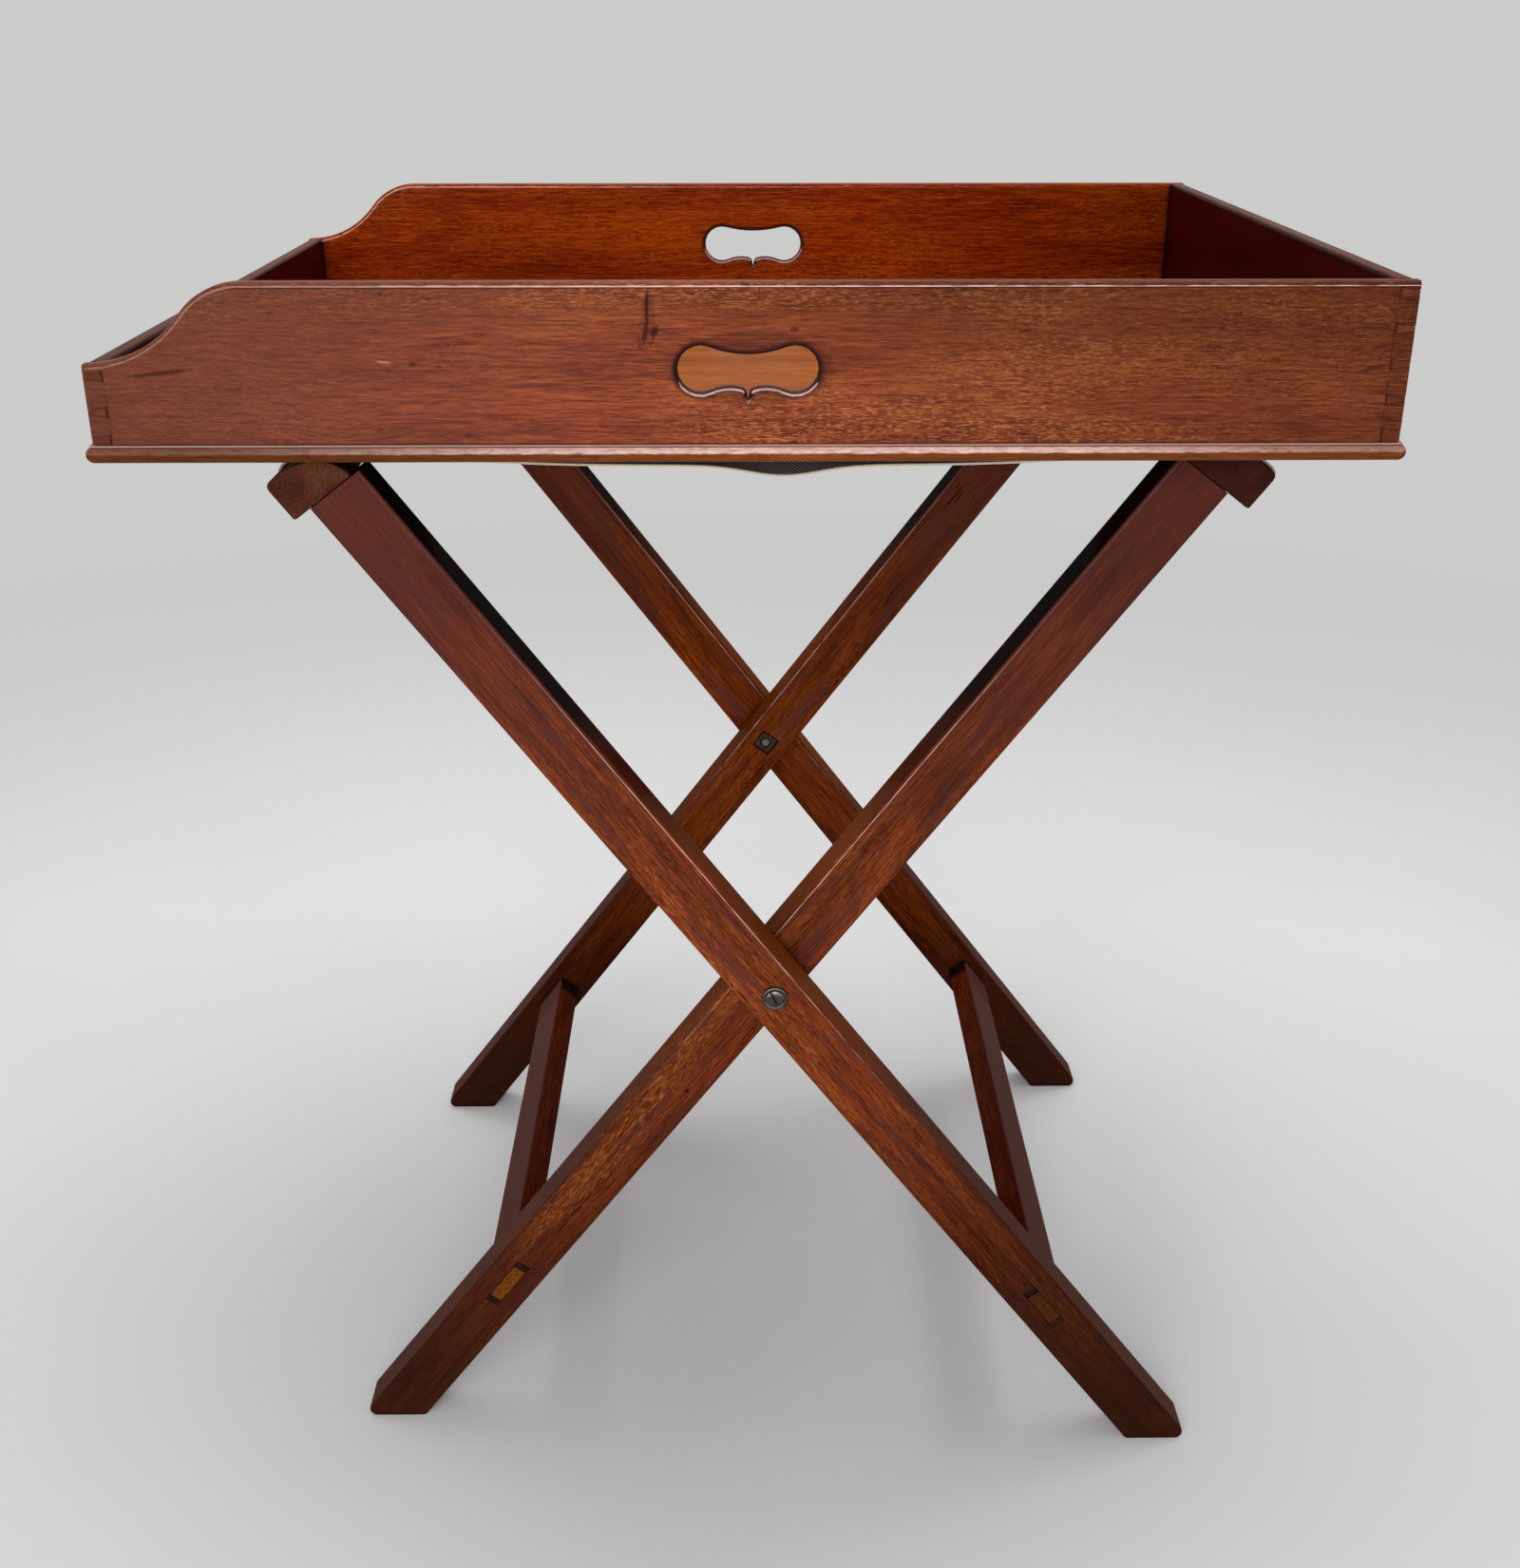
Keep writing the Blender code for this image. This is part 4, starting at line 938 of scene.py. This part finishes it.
# %% [markdown]
# ## Wedges
#
# A through tenon is locked by two wedges driven in from outside, which spread it in its flared mortise.
# Their ends show on the legs as dark slips. These solids are already right, flat and sharp, so they stay
# as they are and only get their wood, darker than the rest because end grain drinks the polish.

# %% Wedge wood
WEDGE_TONES = ((0.008, 0.003, 0.002), (0.020, 0.008, 0.005), (0.040, 0.017, 0.009), (0.080, 0.040, 0.024))
wedge_wood = wood_material("wedge wood", WEDGE_TONES, turn=ALONG_Y, flecks=0.3, gloss=0.35)
wedges = [node for name, node in frame["nodes"].items() if name.endswith("_wedge")]
for wedge in wedges:
    wedge.data.materials.clear()
    wedge.data.materials.append(wedge_wood)
print(len(wedges), "wedges")

# %% [markdown]
# ## Steel
#
# The two pivot bolts and their cup washers and square nuts are old steel, browned almost black and
# rubbed bright on the high rims, with a painted highlight there too; painted shade darkens the recesses.
# Rust and wax mottle it. The metal value stays high and the colour and the roughness change together,
# because a rubbed edge is both paler and smoother.

# %% Old steel
BOLT_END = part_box("back_pivot_bolt")[0].y - PIVOT.y
SUNK_SHADE_REACH = 0.003
MOTTLE = 420.0
GRIT = 2600.0


def steel_material(name, dark, bright, rust, polished=None):
    """Browned steel with painted highlights on its rims and painted shade in its recesses. polished(place)
    may give the share that is polished bright by its place.
    """
    made, shader = new_material(name)
    place = object_place(shader)
    mottle = noise(place, MOTTLE, detail=4.0, rough=0.6)
    rubbed_and_highlit = on_mesh(place, "arris")
    if polished:
        rubbed_and_highlit = rubbed_and_highlit.done("MAXIMUM", polished(place))
    metal = mix(step(mottle, 0.35, 0.65), dark, rust)
    # Pale polish and a painted highlight on the rims, and painted shade in the recesses.
    metal = mix(rubbed_and_highlit * 0.8, metal, bright) * step(open_air(place, SUNK_SHADE_REACH), 0.30, 0.85, 0.06, 1.0)
    fill(shader, {"Base Color": metal, "Roughness": mottle * 0.35 + 0.22, "Metallic": 0.85,
                  "Normal": bumps(noise(place, GRIT, detail=2.0), 0.25, 0.0001)})
    return made


def bolt_end(place):
    """The flat inner end of each bolt, which shows bright in its nut."""
    return step(abs(axes(place)[1] - PIVOT.y), BOLT_END + 0.0002, BOLT_END + 0.0006, 0.45, 0.0)


bolt_steel = steel_material("old bolt steel", (0.040, 0.042, 0.036), (0.32, 0.31, 0.29),
                            (0.076, 0.064, 0.049), polished=bolt_end)
nut_steel = steel_material("old nut steel", (0.030, 0.021, 0.014), (0.13, 0.095, 0.065),
                           (0.070, 0.038, 0.020))
for side in ("front", "back"):
    for piece, part, metal in (("bolt", "bolt", bolt_steel), ("cup_washer", "washer", bolt_steel),
                               ("square_nut", "nut", nut_steel)):
        fine_piece(side + "_" + piece, side + "_pivot_" + part, SIDE_AXIS, metal, wear_and_highlight=metal_wear_and_highlight)

# %% [markdown]
# ## Webbing
#
# Upholsterer's webbing is a tough tape of jute and cotton, woven as a twill: black, with white dots in
# slanting rows, and a cream cord along each edge. Three lengths run over the rails and are tacked to
# the rails' outer sides. A strap follows a path, so Geometry Nodes suit it: the tree takes the strap's
# line, rounds it into a smooth curve and sweeps the tape's section along it. The line itself is read
# from the strap's plain solid, whose outline goes up one side of the strap and comes back on the other.

# %% The line of a strap
def strap_line(node):
    """A strap's thickness, and its middle line from its left end to its right end."""
    shape = fine_mesh(node)
    front = min(shape.faces, key=lambda face: face.normal.y)
    outline = [Vector((corner.co.x, corner.co.z)) for corner in front.verts]
    shape.free()
    count = len(outline)
    left = [i for i in range(count) if outline[i].x < PIVOT.x]
    first, second = sorted(sorted(left, key=lambda i: outline[i].y)[:2])
    if second - first != 1:
        first, second = second, first
    pairs = [(outline[(first - i) % count], outline[(second + i) % count]) for i in range(count // 2)]
    return (pairs[0][0] - pairs[0][1]).length, [(a + b) / 2 for a, b in pairs]


strap_thick, plain_line = strap_line("front_strap")
print("strap points", len(plain_line), "thickness in mm", round(strap_thick * 1000, 2))

# %% [markdown]
# The straps are old and have stretched. They drop quickly behind each rail and then hang almost level,
# and the front edge of the first one bags a little more in the middle. We change only the free span, and
# leave the part that lies on the rails as it is.

# %% Sag
SAG = 0.0128
SAG_POWER = 3.5


def hang(line):
    """The line with its free span, between the crowns of the two rails, hanging as old webbing does."""
    half_way = len(line) // 2
    start = max(range(half_way), key=lambda i: line[i].y) + 1
    end = max(range(half_way, len(line)), key=lambda i: line[i].y) - 1
    left, right = line[start], line[end]
    span = right.x - left.x
    made = list(line)
    for i in range(start + 1, end):
        share = (line[i].x - left.x) / span
        level = left.y + (right.y - left.y) * share
        made[i] = Vector((line[i].x, level - SAG * (1 - abs(2 * share - 1) ** SAG_POWER)))
    return made


strap_course = hang(plain_line)
STRAP_LENGTH = sum((b - a).length for a, b in zip(strap_course, strap_course[1:]))
print("length of each strap in mm", round(STRAP_LENGTH * 1000, 1))


# %% Running a tree
def geometry_tree(name, inputs):
    """A Geometry Nodes tree with named inputs, and what they give by name."""
    tree = bpy.data.node_groups.new(name, "GeometryNodeTree")
    tree.interface.new_socket("Geometry", in_out="OUTPUT", socket_type="NodeSocketGeometry")
    for label, kind in (("Geometry", "Geometry"), *inputs, ("Material", "Material")):
        tree.interface.new_socket(label, in_out="INPUT", socket_type="NodeSocket" + kind)
    return tree, {socket.name: Pattern(socket) for socket in add_node(tree, "NodeGroupInput").outputs}


def end_tree(geometry, material):
    """Ends a tree: what it made becomes real and gets its material."""
    real = geometry.sent("GeometryNodeRealizeInstances")
    done = real.sent("GeometryNodeSetMaterial", {"Material": material})
    return add_node(geometry.tree, "NodeGroupOutput", {0: done}).id_data


def run_tree(name, mesh, tree, values):
    """A mesh put through a tree, as a plain mesh object at the origin."""
    carrier = add_object(name + "_line", mesh)
    nodes = carrier.modifiers.new("Nodes", "NODES")
    nodes.node_group = tree
    for item in tree.interface.items_tree:
        if item.in_out == "INPUT" and item.name in values:
            nodes[item.identifier] = values[item.name]
    bpy.context.view_layer.update()
    seen = carrier.evaluated_get(bpy.context.evaluated_depsgraph_get())
    plain = bpy.data.meshes.new_from_object(seen)
    bpy.data.objects.remove(carrier, do_unlink=True)
    plain.name = name
    print(name, len(plain.vertices), "points", len(plain.polygons), "faces")
    return add_object(name, plain)


# %% The webbing tree
def captured(geometry, name, kind, value):
    """Geometry that carries a value, and the value as it carries it."""
    node = add_node(geometry.tree, "GeometryNodeCaptureAttribute", {"Geometry": geometry})
    node.capture_items.new(kind, name)
    fill(node, {name: value})
    return Pattern(node.outputs[0]), Pattern(node.outputs[name])


def make_webbing_tree():
    """Sweeps a tape's section along a line. The tape's UV map has metres along and across it."""
    tree, given = geometry_tree("webbing", (("Section", "Object"), ("Step", "Float")))
    curve = given["Geometry"].sent("GeometryNodeMeshToCurve")
    curve = curve.sent("GeometryNodeCurveSplineType", spline_type="CATMULL_ROM")
    curve = curve.sent("GeometryNodeResampleCurve", {"Length": given["Step"]}, mode="LENGTH")
    curve = curve.sent("GeometryNodeSetCurveNormal")
    length = pattern(tree, "GeometryNodeSplineParameter", output="Length")
    curve, along = captured(curve, "along", "FLOAT", length)
    ring = given["Section"].sent("GeometryNodeObjectInfo", output="Geometry").sent("GeometryNodeMeshToCurve")
    ring, spot = captured(ring, "across", "VECTOR", pattern(tree, "GeometryNodeInputPosition"))
    tape = curve.sent("GeometryNodeCurveToMesh", {"Profile Curve": ring, "Fill Caps": True})
    chart = along.sent("ShaderNodeCombineXYZ", {1: axes(spot)[0]})
    tape = tape.sent("GeometryNodeStoreNamedAttribute", {"Name": "UVMap", "Value": chart},
                     data_type="FLOAT2", domain="CORNER")
    return end_tree(tape.sent("GeometryNodeSetShadeSmooth"), given["Material"])


WEBBING = make_webbing_tree()
print("webbing tree:", len(WEBBING.nodes), "nodes")

# %% [markdown]
# The weave is drawn in the tape's own UV map, which has metres along it and across it, so the threads
# keep their size on the bends. Slanting rows of dots come from shifting each row by a fixed step, which
# is just what a twill does on the loom.

# %% Webbing cloth
DOT_STEP = 0.0026
ROW_STEP = 0.0016
ROW_SHIFT = 1.0 / 3.0
SELVEDGE = 0.0015
FUZZ = 1800.0
RIBS = 190.0
DARK_END_LENGTH = 0.060
BLACK_YARN = ((0.003, 0.003, 0.003), (0.012, 0.011, 0.010))
WHITE_YARN = ((0.72, 0.70, 0.64), (0.94, 0.92, 0.86))
CREAM_CORD = ((0.55, 0.46, 0.33), (0.86, 0.76, 0.60))
DARK_END_TONE = (0.012, 0.010, 0.008)


def webbing_material(name, width, length):
    """A black twill tape with white dots and cream edges, darker towards its ends."""
    made, shader = new_material(name)
    chart = pattern(shader.id_data, "ShaderNodeUVMap", uv_map="UVMap")
    along, across, _ = axes(chart)
    rows = across / ROW_STEP
    in_row = rows.done("FRACT") - 0.5
    in_step = (rows.done("FLOOR") * ROW_SHIFT + along / DOT_STEP).done("FRACT") - 0.5
    off_dot = (in_row * 1.3).sent("ShaderNodeCombineXYZ", {1: in_step * 2.0}).measured("LENGTH")
    dot = step(off_dot, 0.30, 0.48, 1.0, 0.0)
    fuzz = noise(chart, FUZZ)
    cloth = mix(dot, mix(fuzz, *BLACK_YARN), mix(fuzz, *WHITE_YARN))
    edge = step(abs(across), width / 2 - SELVEDGE, width / 2 - SELVEDGE * 0.8)
    cloth = mix(edge, cloth, mix(fuzz, *CREAM_CORD))
    half = length / 2
    # The tape is darker towards both ends, the cream edges less so.
    darker_ends = step(abs(along - half), half - DARK_END_LENGTH * 1.15, half - DARK_END_LENGTH * 0.75, 0.0, 0.70)
    cloth = mix(darker_ends * (edge * -0.50 + 1.0), cloth, DARK_END_TONE)
    ribs = chart.sent("ShaderNodeTexWave", {"Scale": RIBS}, "Fac", bands_direction="Y")
    high = dot * 0.7 + ribs + fuzz * 0.5
    fill(shader, {"Base Color": cloth, "Normal": bumps(high, 0.6, 0.0003), "Roughness": 0.92,
                  "Sheen Weight": 0.08, "Sheen Roughness": 0.5})
    return made


# %% The three straps
STRAP_LOW, STRAP_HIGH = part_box("front_strap")
STRAP_WIDTH = STRAP_HIGH.y - STRAP_LOW.y
LENGTH_STEP = 0.0035
WEB_SHARE = 0.36
WEB_DIP = 0.94
SEAM = 2.2
BAG = 0.0064
BAG_AT = 0.0214
BAG_REACH = 0.030
BAG_POWER = 1.5


def section_outline(width, thick):
    """The tape's section: a thin web between two round cords."""
    cord, web = thick / 2, thick * WEB_SHARE
    seam, centre = width / 2 - SEAM * cord, width / 2 - cord
    upper = [(-seam, web), (-seam / 3, web * WEB_DIP), (seam / 3, web * WEB_DIP), (seam, web)]
    for angle in (125, 90, 55, 20, -20, -55, -90, -125):
        turn = math.radians(angle)
        upper.append((centre + cord * math.cos(turn), cord * math.sin(turn)))
    return upper + [(-x, -z) for x, z in upper]


def edge_line(name, points, closed):
    """A mesh of edges through points, open or closed."""
    mesh = bpy.data.meshes.new(name)
    links = [(i, i + 1) for i in range(len(points) - 1)]
    mesh.from_pydata(points, links + ([(len(points) - 1, 0)] if closed else []), [])
    return mesh


def bag_front_edge(mesh, low_y, width):
    """The front edge of the first strap drops a little more than its back edge."""
    for point in mesh.vertices:
        share = max(0.0, 1 - (point.co.y - low_y) / width)
        fall = math.exp(-((point.co.x - BAG_AT) / BAG_REACH) ** 2)
        point.co.z -= BAG * fall * share ** BAG_POWER


webbing_cloth = webbing_material("black webbing", STRAP_WIDTH, STRAP_LENGTH)
outline = [(x, z, 0.0) for x, z in section_outline(STRAP_WIDTH, strap_thick)]
section = add_object("tape_section", edge_line("tape_section", outline, True))
straps = {}
for side in ("front", "middle", "back"):
    centre = middle(side + "_strap").y
    line = edge_line(side + "_line", [(point.x, centre, point.y) for point in strap_course], False)
    straps[side] = run_tree(side + "_webbing", line, WEBBING,
                            {"Section": section, "Step": LENGTH_STEP, "Material": webbing_cloth})
bag_front_edge(straps["front"].data, STRAP_LOW.y, STRAP_WIDTH)
bpy.data.objects.remove(section, do_unlink=True)

# %% Bake the straps in place
for side, strap in straps.items():
    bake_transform(strap)
    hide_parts(side + "_strap")

# %% [markdown]
# ## Tacks and screws
#
# Upholsterers drive three or four blued tacks through the end of each strap. Under the tray, a row of
# countersunk screws holds the bottom board to the walls. Every tack is the same, and so is every screw
# but for the way its slot was left. That is a job for instances: one small head is made in the tree and
# put on a list of points, turned to the surface's direction, and spun at random from a fixed seed. The
# export can't keep instances, so the tree ends by making them real.

# %% The tree of the heads
HEAD_SIDES = 16
HEAD_WELD = 0.00001


def stepped_head(disc, steps, radius):
    """A domed or stepped head: a disc's face pushed up and drawn in again and again, then closed below
    with a copy of the disc that is turned over."""
    grown, top = disc, None
    for rise, reach in steps:
        sockets = {0: grown, "Offset Scale": rise, **({"Selection": top} if top else {})}
        lifted = add_node(disc.tree, "GeometryNodeExtrudeMesh", sockets).outputs
        top = lifted["Top"]
        sockets = {"Selection": top, "Scale": reach / radius}
        grown, radius = Pattern(lifted["Mesh"]).sent("GeometryNodeScaleElements", sockets), reach
    whole = add_node(disc.tree, "GeometryNodeJoinGeometry", {0: disc.sent("GeometryNodeFlipFaces")})
    fill(whole, {0: grown})
    return Pattern(whole.outputs[0]).sent("GeometryNodeMergeByDistance", {"Distance": HEAD_WELD})


def make_heads_tree(name, radius, steps, slot_size=None):
    """Heads on points. The points' "out" says where each one faces."""
    tree, given = geometry_tree(name, (("Seed", "Int"), ("Size", "Float")))
    sockets = {"Vertices": HEAD_SIDES, "Radius": radius}
    head = stepped_head(pattern(tree, "GeometryNodeMeshCircle", sockets, fill_type="NGON"), steps, radius)
    if slot_size:
        top = sum(rise for rise, reach in steps)
        bar = pattern(tree, "GeometryNodeMeshCube", {"Size": slot_size})
        bar = bar.sent("GeometryNodeTransform", {"Translation": (0.0, 0.0, top)})
        head = head.sent("GeometryNodeMeshBoolean", {"Mesh 2": bar}, operation="DIFFERENCE")
    facing = pattern(tree, "GeometryNodeInputNamedAttribute", {"Name": "out"}, data_type="FLOAT_VECTOR")
    upright = pattern(tree, "FunctionNodeAlignRotationToVector", {"Vector": facing}, axis="Z")
    spin = pattern(tree, "FunctionNodeRandomValue", {"Seed": given["Seed"], "Max": 1.0}, 1, data_type="FLOAT")
    about = pattern(tree, "ShaderNodeCombineXYZ", {2: spin * (2 * math.pi)})
    turn = about.sent("FunctionNodeEulerToRotation")
    spun = upright.sent("FunctionNodeRotateRotation", {"Rotate By": turn}, rotation_space="LOCAL")
    sockets = {"Instance": head, "Rotation": spun, "Scale": given["Size"]}
    return end_tree(given["Geometry"].sent("GeometryNodeInstanceOnPoints", sockets), given["Material"])


TACK_HEAD = 0.0036
TACK_STEPS = ((0.0002, TACK_HEAD), (0.0003, 0.0031), (0.0003, 0.0021), (0.0001, 0.0008))
SCREW_HEAD = 0.0040
SCREW_STEPS = ((0.0008, SCREW_HEAD), (0.00015, 0.0038))
SCREW_SLOT = (0.0090, 0.0009, 0.0010)
TACKS = make_heads_tree("tack heads", TACK_HEAD, TACK_STEPS)
SCREWS = make_heads_tree("screw heads", SCREW_HEAD, SCREW_STEPS, SCREW_SLOT)
print("heads trees:", len(TACKS.nodes), "and", len(SCREWS.nodes), "nodes")

# %% Where the tacks go
TACK_PLACES = (-0.34, -0.12, 0.13, 0.35)
TACK_SINK = 0.0002
TACK_UP = 0.0062
HEAD_CRISP = math.radians(40.0)


def place_heads(name, points, out, tree, seed, material, body):
    """Heads that all face one way, as one piece that rides on a body."""
    mesh = bpy.data.meshes.new(name)
    mesh.from_pydata(points, [], [])
    mesh.attributes.new("out", "FLOAT_VECTOR", "POINT").data.foreach_set("vector", tuple(out) * len(points))
    heads = run_tree(name, mesh, tree, {"Seed": seed, "Size": 1.0, "Material": material})
    heads.data.set_sharp_from_angle(angle=HEAD_CRISP)
    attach(heads, body)


def tack_row(course):
    """The tacks' points and direction at the end that starts a course."""
    along = (course[1] - course[0]).normalized()
    spot = course[0] + along * TACK_UP
    out = Vector((-along.y, along.x))
    if out.x * (spot.x - PIVOT.x) < 0:
        out = -out
    spot = spot + out * (strap_thick * WEB_SHARE - TACK_SINK)
    points = [(spot.x, middle(side + "_strap").y + share * STRAP_WIDTH, spot.y)
              for side in straps for share in TACK_PLACES]
    return points, (out.x, 0.0, out.y)


blued_steel = steel_material("blued tack steel", (0.020, 0.020, 0.024), (0.20, 0.20, 0.21),
                             (0.050, 0.032, 0.022))
place_heads("left_tacks", *tack_row(strap_course), TACKS, 3, blued_steel, "outer_frame")
place_heads("right_tacks", *tack_row(strap_course[::-1]), TACKS, 5, blued_steel, "inner_frame")

# %% Screws under the tray
SCREW_SINK = 0.0008
SIDE_SCREWS = 7
END_SCREWS = 5
SIDE_SHARE = 0.93
END_SHARE = 0.72
WALL_Y = middle("tray_back_side").y
WALL_X = middle("tray_high_end").x


def spread(reach, count):
    """Evenly spaced places from -reach to reach."""
    return [-reach + 2 * reach * i / (count - 1) for i in range(count)]


spots = [(x, y) for y in (-WALL_Y, WALL_Y) for x in spread(WALL_X * SIDE_SHARE, SIDE_SCREWS)]
spots += [(x, y) for x in (-WALL_X, WALL_X) for y in spread(WALL_Y * END_SHARE, END_SCREWS)]
screw_steel = steel_material("bottom screw steel", (0.055, 0.048, 0.040), (0.30, 0.27, 0.22),
                             (0.085, 0.045, 0.024))
place_heads("bottom_screws", [(x, y, BASE_LOW.z + SCREW_SINK) for x, y in spots], DOWN, SCREWS, 11,
            screw_steel, "tray")

# %% [markdown]
# ## Floor, light and camera
#
# A product picture wants a plain pale floor and soft light. The floor is so large that no horizon cuts
# the picture. Lamps near the object don't reach its far parts, so those would go dark. There the floor
# shows its own pale tone instead, to the camera and to glossy rays, and close to the object it is plain
# matt paint that takes the shadow. One wide lamp above stands in for an overcast sky, another in front
# fills the shadows, and the world adds a little from everywhere.

# %% Floor
BACKDROP = (0.60, 0.60, 0.595)
PAINT_TONES = ((0.76, 0.76, 0.755), (0.80, 0.80, 0.795))
FAR = 3000.0


def seen_rays(tree):
    """One for the rays that show a thing to the camera, straight, by gloss or through glass."""
    rays = add_node(tree, "ShaderNodeLightPath").outputs
    seen = Pattern(rays["Is Camera Ray"]).done("MAXIMUM", rays["Is Glossy Ray"])
    return seen.done("MAXIMUM", rays["Is Transmission Ray"])


floor_mesh = bpy.data.meshes.new("floor")
floor_mesh.from_pydata([(-FAR, -FAR, 0.0), (FAR, -FAR, 0.0), (FAR, FAR, 0.0), (-FAR, FAR, 0.0)],
                       [], [(0, 1, 2, 3)])
floor = add_object("floor", floor_mesh)
floor_paint, shader = new_material("pale floor")
place = object_place(shader)
paint = mix(noise(place, 3.0), *PAINT_TONES)
fill(shader, {"Base Color": paint, "Roughness": 0.8, "Specular IOR Level": 0.1})
own_tone = pattern(place.tree, "ShaderNodeEmission", {"Color": BACKDROP})
away = seen_rays(place.tree) * step(place.measured("LENGTH"), 0.8, 2.6)
blend = away.sent("ShaderNodeMixShader", {1: shader.outputs[0], 2: own_tone})
fill(place.tree.nodes["Material Output"], {"Surface": blend})
floor_mesh.materials.append(floor_paint)

# %% Light
SKY_TONE = (0.97, 0.98, 1.0)
SKY_LEVEL = 0.38
LIT_SPOT = (0.0, 0.0, 0.5)
world = bpy.data.worlds.new("studio")
bpy.context.scene.world = world
world.use_nodes = True
sky = world.node_tree.nodes["Background"]
fill(sky, {"Color": SKY_TONE, "Strength": SKY_LEVEL})
shown = pattern(world.node_tree, "ShaderNodeBackground", {"Color": BACKDROP})
both = seen_rays(world.node_tree).sent("ShaderNodeMixShader", {1: sky.outputs[0], 2: shown})
fill(world.node_tree.nodes["World Output"], {"Surface": both})


def soft_lamp(name, place, size, power):
    """A wide rectangle of light that looks at the middle of the object."""
    data = bpy.data.lights.new(name, "AREA")
    data.shape = "RECTANGLE"
    data.size, data.size_y = size
    data.energy = power
    lamp = add_object(name, data)
    lamp.location = place
    lamp.rotation_euler = (Vector(LIT_SPOT) - Vector(place)).to_track_quat("-Z", "Y").to_euler()


soft_lamp("overhead", (0.1, 0.5, 2.7), (2.8, 1.7), 46.0)
soft_lamp("front fill", (-0.6, -3.0, 1.45), (2.4, 1.9), 60.0)

# %% Camera
IMAGE_HEIGHT = 1650
FOCAL_PIXELS = 1879.4749
CAMERA_PLACE = (-0.0043, -1.2957, 0.9756)
TILT_DOWN = 0.4126
ROLL = -0.0109
camera_data = bpy.data.cameras.new("camera")
camera_data.sensor_width = 36.0
camera_data.lens = camera_data.sensor_width * FOCAL_PIXELS / IMAGE_HEIGHT
camera = add_object("camera", camera_data)
camera.location = CAMERA_PLACE
camera.rotation_euler = (math.pi / 2 - TILT_DOWN, 0.0, ROLL)
bpy.context.scene.camera = camera
bpy.context.scene.view_settings.view_transform = "Standard"
